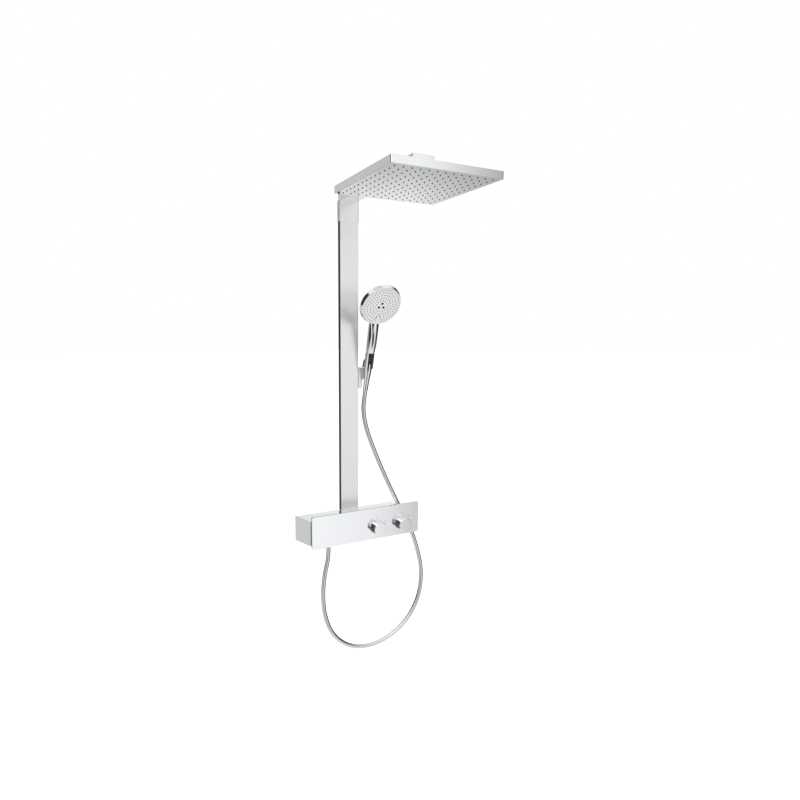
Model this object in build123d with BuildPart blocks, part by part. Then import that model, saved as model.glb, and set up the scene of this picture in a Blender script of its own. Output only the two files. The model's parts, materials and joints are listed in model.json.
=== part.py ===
from build123d import *
import os
from math import cos, pi, radians, sin, tan

# Wall-mounted rainfall shower column, in millimetres.
# X runs right along the wall, Y runs into the wall (the wall face is Y = 0) and Z is up.
# The origin lies on the wall face, on the column's centre line, at the mixer housing's mid height.

os.makedirs("parts", exist_ok=True)

# ---- driving dimensions ----
# column
COLUMN_WIDTH = 61.0
COLUMN_DEPTH = 16.0
COVER_THICKNESS = 1.5
RAIL_FRONT_WALL = 1.2
RAIL_FLANK = 6.0
GROOVE_MOUTH = 4.0
GROOVE_LIP = 1.5
GROOVE_HEAD = 8.0
GROOVE_HEAD_DEPTH = 2.5
FOOT_THICKNESS = 2.0
SLEEVE_HEIGHT = 61.0
SLEEVE_WALL = 1.5
SLEEVE_GAP = 0.2
# arm
ARM_UNDERSIDE_Z = 1011.0
ARM_WIDTH = 58.0
ARM_HEIGHT = 24.0
ARM_REACH = 434.0
ARM_WALL = 1.5
ARM_CAP = 3.0
ARM_CORNER = 1.2
ARM_CAP_EDGE = 0.8
# pipes
PIPE_RADIUS = 4.5
PIPE_BORE = 3.5
PIPE_FIT = 0.1
RISER_Y = -8.2
RISER_BEND = 14.0
ARM_PIPE_RISE = 13.0
# wall bracket of the column
BRACKET_WIDTH = 44.0
BRACKET_PLATE = 3.0
BRACKET_DROP = 56.0
BRACKET_TONGUE = 110.0
BRACKET_HOLE_SPACING = 30.0
BRACKET_HOLE_RADIUS = 2.75
BRACKET_HOLE_DROP = 26.0
ARM_SCREW_RADIUS = 2.5
ARM_SCREW_Y = (-60.0, -95.0)
# rain head and its ball joint
HEAD_SIDE = 300.0
HEAD_THICKNESS = 18.0
HEAD_FROM_END = 38.0
HEAD_DROP = 42.0
HEAD_CORNER = 4.0
HEAD_WALL = 1.5
FACE_THICKNESS = 2.5
HEAD_NOZZLES = 13
NOZZLE_PITCH = 22.0
NOZZLE_HOLE = 1.8
NOZZLE_RADIUS = 1.5
NOZZLE_STAND = 1.4
MAT_THICKNESS = 1.5
GASKET_THICKNESS = 1.2
CHAMBER_SIDE = 288.0
CHAMBER_HEIGHT = 9.0
CHAMBER_WALL = 2.0
BALL_DROP = 3.0
BALL_RADIUS = 8.0
BALL_GAP = 0.05
SEAT_THICKNESS = 1.45
STEM_RADIUS = 4.5
SPIGOT_RADIUS = 6.0
HUB_RADIUS = 16.0
HUB_HEIGHT = 3.5
NUT_RADIUS = 15.0
NUT_SPIGOT_RADIUS = 11.9
NUT_SPIGOT_HEIGHT = 5.5
NUT_DROP = 6.5
NUT_EDGE = 1.5
HUB_EDGE = 1.0
HEAD_EDGE = 1.0
# mixer housing and panel
HOUSING_HEIGHT = 78.0
HOUSING_DEPTH = 72.0
HOUSING_WALL = 2.0
HOUSING_REAR_LEFT = -183.0
HOUSING_FRONT_LEFT = -159.0
HOUSING_REAR_RIGHT = 165.0
HOUSING_FRONT_RIGHT = 190.0
HOUSING_NOTCH_RIGHT = 200.0
HOUSING_NOTCH_Y = -34.0
HOUSING_EDGE = 1.5
PANEL_WIDTH = 380.0
PANEL_HEIGHT = 103.0
PANEL_THICKNESS = 6.0
PANEL_CENTRE_X = 32.7
PANEL_CENTRE_Z = 2.5
PANEL_CORNER = 5.0
PANEL_EDGE = 0.6
CARRIER_THICKNESS = 2.0
CARRIER_WIDTH = 326.0
CARRIER_HEIGHT = 70.0
CARRIER_CENTRE_X = 15.0
# mixer
AXIS_Z = -10.0
INLET_SPACING = 150.0
INLET_THREAD_RADIUS = 10.4
INLET_THREAD_LENGTH = 15.0
INLET_BORE = 7.0
LEG_RADIUS = 12.0
LEG_BORE = 7.5
LEG_END_Y = -22.0
UNION_NUT_FLATS = 30.0
BAR_FROM_FRONT = 20.0
BAR_RADIUS = 15.0
BAR_BORE = 10.0
BAR_LEFT = -102.0
BAR_RIGHT = 182.0
TEMPERATURE_X = 68.0
DIVERTER_X = 159.0
BOSS_RADIUS = 17.0
CARTRIDGE_RADIUS = 12.8
CARTRIDGE_NOSE = 9.0
CARTRIDGE_FIT = 0.1
SPINDLE_RADIUS = 4.0
SPINDLE_GAP = 0.05
PANEL_HOLE = 15.0
KNOB_RADIUS = 24.0
KNOB_FRONT_RADIUS = 22.5
KNOB_LENGTH = 25.0
KNOB_GAP = 1.0
KNOB_WALL = 2.5
KNOB_EDGE = 1.0
# hose outlet
OUTLET_X = -87.0
OUTLET_Y = -40.0
OUTLET_THREAD_RADIUS = 10.3
OUTLET_LENGTH = 20.0
LOWER_NUT_DROP = 2.0
LOWER_NUT_LENGTH = 23.0
HOSE_RADIUS = 7.0
# hand shower and its holder
LEAN = 15.6
HANDSET_FROM_COLUMN = 23.5
HANDSET_FOOT_Y = -20.0
HANDSET_FOOT_Z = 430.6
UPPER_NUT_LENGTH = 90.0
NUT_WIDE_RADIUS = 11.6
NUT_NARROW_RADIUS = 7.8
HOLDER_START = 75.5
HOLDER_LENGTH = 50.5
HOLDER_WALL = 1.2
LINER_WALL = 1.0
NUT_PLAY = 0.7
HOLDER_SLOT = 15.0
HOLDER_SLOT_TURN = -6.0
LINER_SLIT = 5.0
HOLDER_CLEARANCE = 0.3
HANDLE_FOOT_WALL = 1.6
HANDLE_NECK_RADIUS = 15.4
HANDLE_LENGTH = 80.0
SPRAY_TILT = 33.5
SPRAY_CENTRE_Y = -118.5
SPRAY_CENTRE_Z = 698.0
SPRAY_RADIUS = 66.0
SPRAY_FACE_RADIUS = 60.0
SPRAY_FACE_D = 11.0
SPRAY_BACK_D = -17.0
SPRAY_PLATE = 2.6
SPRAY_NOZZLE_RINGS = ((19.0, 14), (28.0, 21), (37.0, 28), (46.0, 35), (54.5, 42))
SPRAY_HOLE = 1.3
SPRAY_NOZZLE = 1.0
CENTRE_NOZZLE_RADIUS = 3.6
CENTRE_NOZZLE_RING = 8.6
BUTTON_DROP = 45.0
BUTTON_WIDTH = 16.0
BUTTON_LENGTH = 24.0
BUTTON_STAND = 2.8
BUTTON_GAP = 0.3
# slider
SLIDER_BOTTOM_Z = 437.0
SLIDER_TOP_Z = 505.0
SLIDER_WIDTH = 12.2
SLIDER_FRONT_Y = -18.0
SLIDER_BACK_Y = -1.0
SLIDER_GAP = 0.3
SLIDER_CORNER = 3.0
PIVOT_Y = -12.0
PIVOT_Z = 472.0
PIVOT_RADIUS = 4.0
PIVOT_GAP = 0.05
ARM_PLATE = 5.0
ARM_EYE_RADIUS = 9.0

# ---- sizes and places that follow ----
CUT = 1.0
HALF_COLUMN = COLUMN_WIDTH / 2
RAIL_DEPTH = COLUMN_DEPTH - COVER_THICKNESS
BUTTON_PLAY = 2 * BUTTON_GAP
BAR_Y = BAR_FROM_FRONT - HOUSING_DEPTH
HANDSET_X = HALF_COLUMN + HANDSET_FROM_COLUMN
HANDSET_FOOT = (HANDSET_X, HANDSET_FOOT_Y, HANDSET_FOOT_Z)
SPRAY_CENTRE = (HANDSET_X, SPRAY_CENTRE_Y, SPRAY_CENTRE_Z)
RAIL_BOTTOM_Z = HOUSING_HEIGHT / 2 + FOOT_THICKNESS
SLEEVE_BOTTOM_Z = ARM_UNDERSIDE_Z - SLEEVE_HEIGHT
GROOVE_Y = -RAIL_DEPTH / 2
GROOVE_DEPTH = GROOVE_LIP + GROOVE_HEAD_DEPTH
ARM_MIDDLE_Z = ARM_UNDERSIDE_Z + ARM_HEIGHT / 2
ARM_FLOOR_Z = ARM_UNDERSIDE_Z + ARM_WALL
ARM_CEILING_Z = ARM_UNDERSIDE_Z + ARM_HEIGHT - ARM_WALL
ARM_PIPE_Z = ARM_UNDERSIDE_Z + ARM_PIPE_RISE
BRACKET_HOLE_Z = ARM_UNDERSIDE_Z - BRACKET_HOLE_DROP
HEAD_Y = HEAD_FROM_END - ARM_REACH
HEAD_UNDERSIDE_Z = ARM_UNDERSIDE_Z - HEAD_DROP
HEAD_TOP_Z = HEAD_UNDERSIDE_Z + HEAD_THICKNESS
BALL_Z = ARM_UNDERSIDE_Z - BALL_DROP
LOWER_NUT_TOP_Z = -HOUSING_HEIGHT / 2 - LOWER_NUT_DROP
PANEL_FRONT = HOUSING_DEPTH + CARRIER_THICKNESS + PANEL_THICKNESS
KNOB_BACK = PANEL_FRONT + KNOB_GAP
KNOB_FRONT = KNOB_BACK + KNOB_LENGTH
HOUSING_BOTTOM_Z = -HOUSING_HEIGHT / 2
LOWER_NUT_BOTTOM_Z = LOWER_NUT_TOP_Z - LOWER_NUT_LENGTH
HOLDER_END = HOLDER_START + HOLDER_LENGTH
HANDLE_FOOT_RADIUS = NUT_WIDE_RADIUS + HANDLE_FOOT_WALL
HOLDER_RADIUS = NUT_WIDE_RADIUS + NUT_PLAY + LINER_WALL + HOLDER_WALL
HANDLE_START = HOLDER_END + HOLDER_CLEARANCE
SLIDER_LEFT = HALF_COLUMN + SLIDER_GAP
SLIDER_RIGHT = SLIDER_LEFT + SLIDER_WIDTH
ARM_PLATE_LEFT = SLIDER_RIGHT + SLIDER_GAP
ARM_PLATE_RIGHT = ARM_PLATE_LEFT + ARM_PLATE

HANDLE_AXIS = (0, -sin(radians(LEAN)), cos(radians(LEAN)))
SPRAY_AXIS = (0, -cos(radians(SPRAY_TILT)), -sin(radians(SPRAY_TILT)))
SPRAY_DOWN = (0, sin(radians(SPRAY_TILT)), -cos(radians(SPRAY_TILT)))
OUTWARD = (0, -1, 0)
UPWARD = (0, 0, 1)


def point_along(start, direction, distance):
    """The point that lies a distance from a start point in a direction."""
    return tuple(s + distance * d for s, d in zip(start, direction))


def across(origin, along):
    """The plane square to an axis, its own X along the wall and its normal along the axis."""
    return Plane(origin=origin, x_dir=(1, 0, 0), z_dir=along)


def turned(origin, along, outline):
    """A turned piece: its outline's points are (radius, distance along the axis)."""
    normal = Vector(1, 0, 0).cross(Vector(*along))
    with BuildPart() as piece:
        with BuildSketch(Plane(origin=origin, x_dir=(1, 0, 0), z_dir=normal)):
            with BuildLine():
                Polyline(*outline, close=True)
            make_face()
        revolve(axis=Axis(origin, along))
    return piece


def housing_plan(inset, rear_y):
    """The housing's plan, moved in by its wall; the notch at the right rear clears the hose."""
    return [
        (HOUSING_REAR_LEFT + inset, rear_y),
        (HOUSING_FRONT_LEFT + inset, -HOUSING_DEPTH + inset),
        (HOUSING_FRONT_RIGHT - inset, -HOUSING_DEPTH + inset),
        (HOUSING_NOTCH_RIGHT - inset, HOUSING_NOTCH_Y - inset),
        (HOUSING_REAR_RIGHT - inset, HOUSING_NOTCH_Y - inset),
        (HOUSING_REAR_RIGHT - inset, rear_y),
    ]


# ---- column ----
with BuildPart() as column_rail:
    with BuildSketch(Plane.XY.offset(RAIL_BOTTOM_Z)):
        with Locations((0, -RAIL_DEPTH / 2)):
            Rectangle(COLUMN_WIDTH, RAIL_DEPTH)
        channel_depth = RAIL_DEPTH - RAIL_FRONT_WALL
        with Locations((0, -channel_depth / 2)):
            Rectangle(COLUMN_WIDTH - 2 * RAIL_FLANK, channel_depth, mode=Mode.SUBTRACT)
        for side in (-1, 1):
            with Locations((side * (HALF_COLUMN - GROOVE_LIP / 2), GROOVE_Y)):
                Rectangle(GROOVE_LIP, GROOVE_MOUTH, mode=Mode.SUBTRACT)
            with Locations((side * (HALF_COLUMN - GROOVE_LIP - GROOVE_HEAD_DEPTH / 2), GROOVE_Y)):
                Rectangle(GROOVE_HEAD_DEPTH, GROOVE_HEAD, mode=Mode.SUBTRACT)
    extrude(amount=ARM_UNDERSIDE_Z - RAIL_BOTTOM_Z)
column_rail.part.label = "column_rail"
export_step(column_rail.part, "parts/column_rail.step")

with BuildPart() as column_cover:
    with BuildSketch(Plane.XY.offset(RAIL_BOTTOM_Z)):
        with Locations((0, -RAIL_DEPTH - COVER_THICKNESS / 2)):
            Rectangle(COLUMN_WIDTH, COVER_THICKNESS)
    extrude(amount=ARM_UNDERSIDE_Z - RAIL_BOTTOM_Z)
    fillet(column_cover.edges().filter_by(Axis.Z).group_by(Axis.Y)[0], COVER_THICKNESS / 2)
column_cover.part.label = "column_cover"
export_step(column_cover.part, "parts/column_cover.step")

with BuildPart() as column_foot:
    with BuildSketch(Plane.XY.offset(HOUSING_HEIGHT / 2)):
        with Locations((0, -COLUMN_DEPTH / 2)):
            Rectangle(COLUMN_WIDTH, COLUMN_DEPTH)
        with Locations((0, RISER_Y)):
            Circle(PIPE_RADIUS + PIPE_FIT, mode=Mode.SUBTRACT)
    extrude(amount=FOOT_THICKNESS)
column_foot.part.label = "column_foot"
export_step(column_foot.part, "parts/column_foot.step")

GRUB_RADIUS = 1.5
GRUB_RISE = 24.4
GRUB_Z = SLEEVE_BOTTOM_Z + GRUB_RISE
SLEEVE_INSIDE = HALF_COLUMN + SLEEVE_GAP
with BuildPart() as column_cheeks:
    with BuildSketch(Plane.XY.offset(SLEEVE_BOTTOM_Z)):
        with Locations((0, -COLUMN_DEPTH / 2)):
            Rectangle(2 * (SLEEVE_INSIDE + SLEEVE_WALL), COLUMN_DEPTH)
            Rectangle(2 * SLEEVE_INSIDE, COLUMN_DEPTH, mode=Mode.SUBTRACT)
    extrude(amount=SLEEVE_HEIGHT)
    with BuildSketch(Plane.YZ.offset(-HALF_COLUMN - 2 * SLEEVE_WALL)):
        with Locations((GROOVE_Y, GRUB_Z)):
            Circle(GRUB_RADIUS)
    extrude(amount=COLUMN_WIDTH + 4 * SLEEVE_WALL, mode=Mode.SUBTRACT)
column_cheeks.part.label = "column_cheeks"
export_step(column_cheeks.part, "parts/column_cheeks.step")

with BuildPart() as sleeve_screws:
    for side in (-1, 1):
        inner = HALF_COLUMN - GROOVE_DEPTH
        with BuildSketch(Plane.YZ.offset(side * inner)):
            with Locations((GROOVE_Y, GRUB_Z)):
                Circle(GRUB_RADIUS)
        extrude(amount=side * (SLEEVE_INSIDE + SLEEVE_WALL - inner))
sleeve_screws.part.label = "sleeve_screws"
export_step(sleeve_screws.part, "parts/sleeve_screws.step")

PIPE_SEAT = 8.0
CAST_EDGE = 1.0
BORE_STEP = 0.5
ELBOW_HALF = 9.0
ELBOW_FRONT_Y = -21.0
ELBOW_BACK_Y = -3.1
with BuildPart() as wall_bracket:
    with BuildSketch(Plane.XZ):
        with Locations((0, ARM_FLOOR_Z - BRACKET_DROP / 2)):
            Rectangle(BRACKET_WIDTH, BRACKET_DROP)
    extrude(amount=BRACKET_PLATE)
    with BuildSketch(Plane.XY.offset(ARM_FLOOR_Z)):
        with Locations((0, -BRACKET_TONGUE / 2)):
            Rectangle(BRACKET_WIDTH, BRACKET_TONGUE)
        slot_back = -BRACKET_PLATE
        slot_front = ELBOW_FRONT_Y - CUT
        with Locations((0, (slot_back + slot_front) / 2)):
            Rectangle(2 * (ELBOW_HALF + CUT), slot_back - slot_front, mode=Mode.SUBTRACT)
        with Locations(*[(0, y) for y in ARM_SCREW_Y]):
            Circle(ARM_SCREW_RADIUS, mode=Mode.SUBTRACT)
    extrude(amount=BRACKET_PLATE)
    with BuildSketch(Plane.XZ):
        with Locations(*[(side * BRACKET_HOLE_SPACING / 2, BRACKET_HOLE_Z) for side in (-1, 1)]):
            Circle(BRACKET_HOLE_RADIUS)
    extrude(amount=BRACKET_PLATE, mode=Mode.SUBTRACT)
wall_bracket.part.label = "wall_bracket"
export_step(wall_bracket.part, "parts/wall_bracket.step")

# ---- water way: mixer to rain head ----
RISER_END_Y = BAR_Y + BAR_RADIUS
with BuildPart() as riser_pipe:
    with BuildLine():
        FilletPolyline(
            (0, RISER_Y, ARM_PIPE_Z - PIPE_RADIUS),
            (0, RISER_Y, AXIS_Z),
            (0, RISER_END_Y, AXIS_Z),
            radius=RISER_BEND,
        )
    riser_top = (0, RISER_Y, ARM_PIPE_Z - PIPE_RADIUS)
    with BuildSketch(Plane(origin=riser_top, x_dir=(1, 0, 0), z_dir=(0, 0, -1))):
        Circle(PIPE_RADIUS)
        Circle(PIPE_BORE, mode=Mode.SUBTRACT)
    sweep()
riser_pipe.part.label = "riser_pipe"
export_step(riser_pipe.part, "parts/riser_pipe.step")

with BuildPart() as riser_elbow:
    with BuildSketch(Plane.XY.offset(ARM_FLOOR_Z)):
        with Locations((0, (ELBOW_BACK_Y + ELBOW_FRONT_Y) / 2)):
            Rectangle(2 * ELBOW_HALF, ELBOW_BACK_Y - ELBOW_FRONT_Y)
    extrude(amount=ARM_CEILING_Z - ARM_FLOOR_Z)
    chamfer(riser_elbow.edges().filter_by(Axis.Z), CAST_EDGE)
    with BuildSketch(Plane.XY.offset(ARM_FLOOR_Z)):
        with Locations((0, RISER_Y)):
            Circle(PIPE_RADIUS + PIPE_FIT)
    extrude(amount=ARM_PIPE_Z - PIPE_RADIUS - ARM_FLOOR_Z, mode=Mode.SUBTRACT)
    with BuildSketch(Plane.XY.offset(ARM_FLOOR_Z)):
        with Locations((0, RISER_Y)):
            Circle(PIPE_BORE)
    extrude(amount=ARM_PIPE_Z + PIPE_BORE - ARM_FLOOR_Z, mode=Mode.SUBTRACT)
    with BuildSketch(Plane.XZ.offset(-ELBOW_FRONT_Y)):
        with Locations((0, ARM_PIPE_Z)):
            Circle(PIPE_RADIUS + PIPE_FIT)
    extrude(amount=-PIPE_SEAT, mode=Mode.SUBTRACT)
    with BuildSketch(Plane.XZ.offset(-RISER_Y)):
        with Locations((0, ARM_PIPE_Z)):
            Circle(PIPE_BORE - BORE_STEP)
    extrude(amount=RISER_Y - ELBOW_FRONT_Y, mode=Mode.SUBTRACT)
riser_elbow.part.label = "riser_elbow"
export_step(riser_elbow.part, "parts/riser_elbow.step")

CONNECTOR_HALF = 14.0
arm_pipe_start = -(ELBOW_FRONT_Y + PIPE_SEAT)
arm_pipe_end = -(HEAD_Y + CONNECTOR_HALF - PIPE_SEAT)
with BuildPart() as arm_pipe:
    with BuildSketch(Plane.XZ.offset(arm_pipe_start)):
        with Locations((0, ARM_PIPE_Z)):
            Circle(PIPE_RADIUS)
            Circle(PIPE_BORE, mode=Mode.SUBTRACT)
    extrude(amount=arm_pipe_end - arm_pipe_start)
arm_pipe.part.label = "arm_pipe"
export_step(arm_pipe.part, "parts/arm_pipe.step")

CLIP_WIDTH = 18.0
CLIP_LENGTH = 8.0
CLIP_SHARE = 0.6
with BuildPart() as arm_pipe_clip:
    with BuildSketch(Plane.XZ.offset(-HEAD_Y * CLIP_SHARE)):
        with Locations((0, (ARM_FLOOR_Z + ARM_CEILING_Z) / 2)):
            Rectangle(CLIP_WIDTH, ARM_CEILING_Z - ARM_FLOOR_Z)
        with Locations((0, ARM_PIPE_Z)):
            Circle(PIPE_RADIUS + PIPE_FIT, mode=Mode.SUBTRACT)
    extrude(amount=CLIP_LENGTH)
arm_pipe_clip.part.label = "arm_pipe_clip"
export_step(arm_pipe_clip.part, "parts/arm_pipe_clip.step")

WELL_RADIUS = NUT_SPIGOT_RADIUS + 0.1
WELL_TOP_Z = ARM_UNDERSIDE_Z + NUT_SPIGOT_HEIGHT + 0.7
with BuildPart() as head_connector:
    with BuildSketch(Plane.XY.offset(ARM_FLOOR_Z)):
        with Locations((0, HEAD_Y)):
            Rectangle(2 * CONNECTOR_HALF, 2 * CONNECTOR_HALF)
    extrude(amount=ARM_CEILING_Z - ARM_FLOOR_Z)
    chamfer(head_connector.edges().filter_by(Axis.Z), 2 * CAST_EDGE)
    with BuildSketch(Plane.XY.offset(ARM_FLOOR_Z)):
        with Locations((0, HEAD_Y)):
            Circle(WELL_RADIUS)
    extrude(amount=WELL_TOP_Z - ARM_FLOOR_Z, mode=Mode.SUBTRACT)
    with BuildSketch(Plane.XY.offset(WELL_TOP_Z)):
        with Locations((0, HEAD_Y)):
            Circle(PIPE_BORE)
    extrude(amount=ARM_PIPE_Z - WELL_TOP_Z, mode=Mode.SUBTRACT)
    with BuildSketch(Plane.XZ.offset(-HEAD_Y - CONNECTOR_HALF)):
        with Locations((0, ARM_PIPE_Z)):
            Circle(PIPE_RADIUS + PIPE_FIT)
    extrude(amount=CONNECTOR_HALF, mode=Mode.SUBTRACT)
head_connector.part.label = "head_connector"
export_step(head_connector.part, "parts/head_connector.step")

# ---- arm ----
ARM_BODY = ARM_REACH - ARM_CAP
ARM_NUT_HOLE = NUT_SPIGOT_RADIUS + 0.3
with BuildPart() as arm_housing:
    with BuildSketch(Plane.XZ):
        with Locations((0, ARM_MIDDLE_Z)):
            RectangleRounded(ARM_WIDTH, ARM_HEIGHT, ARM_CORNER)
            Rectangle(ARM_WIDTH - 2 * ARM_WALL, ARM_HEIGHT - 2 * ARM_WALL, mode=Mode.SUBTRACT)
    extrude(amount=ARM_BODY)
    with BuildSketch(Plane.XY.offset(ARM_UNDERSIDE_Z)):
        with Locations((0, HEAD_Y)):
            Circle(ARM_NUT_HOLE)
        with Locations((0, RISER_Y)):
            Circle(PIPE_RADIUS + PIPE_FIT)
        with Locations((0, -BRACKET_PLATE / 2)):
            Rectangle(BRACKET_WIDTH + 2 * PIPE_FIT, BRACKET_PLATE + 2 * PIPE_FIT)
        with Locations(*[(0, y) for y in ARM_SCREW_Y]):
            Circle(ARM_SCREW_RADIUS)
    extrude(amount=ARM_WALL, mode=Mode.SUBTRACT)
arm_housing.part.label = "arm_housing"
export_step(arm_housing.part, "parts/arm_housing.step")

CAP_LIP = 4.0
CAP_LIP_WALL = 1.5
CAP_FIT = 0.2
with BuildPart() as arm_end_cap:
    with BuildSketch(Plane.XZ.offset(ARM_BODY)):
        with Locations((0, ARM_MIDDLE_Z)):
            RectangleRounded(ARM_WIDTH, ARM_HEIGHT, ARM_CORNER)
    extrude(amount=ARM_CAP)
    fillet(arm_end_cap.faces().sort_by(Axis.Y)[0].edges(), ARM_CAP_EDGE)
    lip_width = ARM_WIDTH - 2 * ARM_WALL - CAP_FIT
    lip_height = ARM_HEIGHT - 2 * ARM_WALL - CAP_FIT
    with BuildSketch(Plane.XZ.offset(ARM_BODY - CAP_LIP)):
        with Locations((0, ARM_MIDDLE_Z)):
            Rectangle(lip_width, lip_height)
            Rectangle(lip_width - 2 * CAP_LIP_WALL, lip_height - 2 * CAP_LIP_WALL, mode=Mode.SUBTRACT)
    extrude(amount=CAP_LIP)
arm_end_cap.part.label = "arm_end_cap"
export_step(arm_end_cap.part, "parts/arm_end_cap.step")

ARM_SCREW_LENGTH = 7.0
with BuildPart() as arm_screws:
    with BuildSketch(Plane.XY.offset(ARM_UNDERSIDE_Z)):
        with Locations(*[(0, y) for y in ARM_SCREW_Y]):
            Circle(ARM_SCREW_RADIUS)
    extrude(amount=ARM_SCREW_LENGTH)
arm_screws.part.label = "arm_screws"
export_step(arm_screws.part, "parts/arm_screws.step")

# ---- ball joint ----
BALL_CENTRE = (0, HEAD_Y, BALL_Z)
SEAT_INNER = BALL_RADIUS + BALL_GAP
SEAT_OUTER = SEAT_INNER + SEAT_THICKNESS
SOCKET = SEAT_OUTER + BALL_GAP
with BuildPart() as ball_socket_nut:
    with BuildSketch(Plane.XY.offset(BALL_Z - NUT_DROP)):
        with Locations((0, HEAD_Y)):
            Circle(NUT_RADIUS)
    extrude(amount=ARM_UNDERSIDE_Z - BALL_Z + NUT_DROP)
    chamfer(ball_socket_nut.faces().sort_by(Axis.Z)[0].edges(), NUT_EDGE)
    with BuildSketch(Plane.XY.offset(ARM_UNDERSIDE_Z)):
        with Locations((0, HEAD_Y)):
            Circle(NUT_SPIGOT_RADIUS)
    extrude(amount=NUT_SPIGOT_HEIGHT)
    with Locations(BALL_CENTRE):
        Sphere(SOCKET, mode=Mode.SUBTRACT)
        Cylinder(SOCKET, 2 * NUT_RADIUS, align=(Align.CENTER, Align.CENTER, Align.MIN), mode=Mode.SUBTRACT)
ball_socket_nut.part.label = "ball_socket_nut"
export_step(ball_socket_nut.part, "parts/ball_socket_nut.step")

SEAT_DROP = 5.0
SEAT_RISE = 4.0
with BuildPart() as ball_seat_ring:
    with Locations(BALL_CENTRE):
        Sphere(SEAT_OUTER)
        Sphere(SEAT_INNER, mode=Mode.SUBTRACT)
    with Locations((0, HEAD_Y, BALL_Z + (SEAT_RISE - SEAT_DROP) / 2)):
        Cylinder(2 * SEAT_OUTER, SEAT_RISE + SEAT_DROP, mode=Mode.INTERSECT)
ball_seat_ring.part.label = "ball_seat_ring"
export_step(ball_seat_ring.part, "parts/ball_seat_ring.step")

SPIGOT_BOTTOM_Z = HEAD_TOP_Z - 3.0
WATER_BORE = 2.5
with BuildPart() as ball_stud:
    with Locations(BALL_CENTRE):
        Sphere(BALL_RADIUS)
    with BuildSketch(Plane.XY.offset(HEAD_TOP_Z)):
        with Locations((0, HEAD_Y)):
            Circle(STEM_RADIUS)
    extrude(amount=BALL_Z - HEAD_TOP_Z)
    with BuildSketch(Plane.XY.offset(SPIGOT_BOTTOM_Z)):
        with Locations((0, HEAD_Y)):
            Circle(SPIGOT_RADIUS)
    extrude(amount=HEAD_TOP_Z + HUB_HEIGHT - SPIGOT_BOTTOM_Z)
    with BuildSketch(Plane.XY.offset(SPIGOT_BOTTOM_Z)):
        with Locations((0, HEAD_Y)):
            Circle(WATER_BORE)
    extrude(amount=BALL_Z + BALL_RADIUS - SPIGOT_BOTTOM_Z, mode=Mode.SUBTRACT)
ball_stud.part.label = "ball_stud"
export_step(ball_stud.part, "parts/ball_stud.step")

# ---- rain head ----
with BuildPart() as head_hub:
    with BuildSketch(Plane.XY.offset(HEAD_TOP_Z)):
        with Locations((0, HEAD_Y)):
            Circle(HUB_RADIUS)
            Circle(SPIGOT_RADIUS, mode=Mode.SUBTRACT)
    extrude(amount=HUB_HEIGHT)
    fillet(head_hub.faces().sort_by(Axis.Z)[-1].outer_wire().edges(), HUB_EDGE)
head_hub.part.label = "head_hub"
export_step(head_hub.part, "parts/head_hub.step")

HEAD_FIT = 0.2
HEAD_INSIDE = HEAD_SIDE - 2 * HEAD_WALL
with BuildPart() as head_shell:
    with BuildSketch(Plane.XY.offset(HEAD_UNDERSIDE_Z)):
        with Locations((0, HEAD_Y)):
            RectangleRounded(HEAD_SIDE, HEAD_SIDE, HEAD_CORNER)
    extrude(amount=HEAD_THICKNESS)
    fillet(head_shell.faces().sort_by(Axis.Z)[-1].edges(), HEAD_EDGE)
    with BuildSketch(Plane.XY.offset(HEAD_UNDERSIDE_Z)):
        with Locations((0, HEAD_Y)):
            RectangleRounded(HEAD_INSIDE, HEAD_INSIDE, HEAD_CORNER - HEAD_WALL)
    extrude(amount=HEAD_THICKNESS - HEAD_WALL, mode=Mode.SUBTRACT)
    with BuildSketch(Plane.XY.offset(HEAD_TOP_Z - HEAD_WALL)):
        with Locations((0, HEAD_Y)):
            Circle(SPIGOT_RADIUS)
    extrude(amount=HEAD_WALL, mode=Mode.SUBTRACT)
head_shell.part.label = "head_shell"
export_step(head_shell.part, "parts/head_shell.step")

FACE_SIDE = HEAD_INSIDE - 2 * HEAD_FIT
FACE_CORNER = HEAD_CORNER - HEAD_WALL - HEAD_FIT
with BuildPart() as head_face:
    with BuildSketch(Plane.XY.offset(HEAD_UNDERSIDE_Z)):
        with Locations((0, HEAD_Y)):
            RectangleRounded(FACE_SIDE, FACE_SIDE, FACE_CORNER)
            with GridLocations(NOZZLE_PITCH, NOZZLE_PITCH, HEAD_NOZZLES, HEAD_NOZZLES):
                Circle(NOZZLE_HOLE, mode=Mode.SUBTRACT)
    extrude(amount=FACE_THICKNESS)
head_face.part.label = "head_face"
export_step(head_face.part, "parts/head_face.step")

MAT_Z = HEAD_UNDERSIDE_Z + FACE_THICKNESS
with BuildPart() as head_nozzle_mat:
    with BuildSketch(Plane.XY.offset(MAT_Z)):
        with Locations((0, HEAD_Y)):
            Rectangle(CHAMBER_SIDE, CHAMBER_SIDE)
    extrude(amount=MAT_THICKNESS)
    with BuildSketch(Plane.XY.offset(HEAD_UNDERSIDE_Z - NOZZLE_STAND)):
        with Locations((0, HEAD_Y)):
            with GridLocations(NOZZLE_PITCH, NOZZLE_PITCH, HEAD_NOZZLES, HEAD_NOZZLES):
                Circle(NOZZLE_RADIUS)
    extrude(amount=NOZZLE_STAND + FACE_THICKNESS)
head_nozzle_mat.part.label = "head_nozzle_mat"
export_step(head_nozzle_mat.part, "parts/head_nozzle_mat.step")

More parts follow.
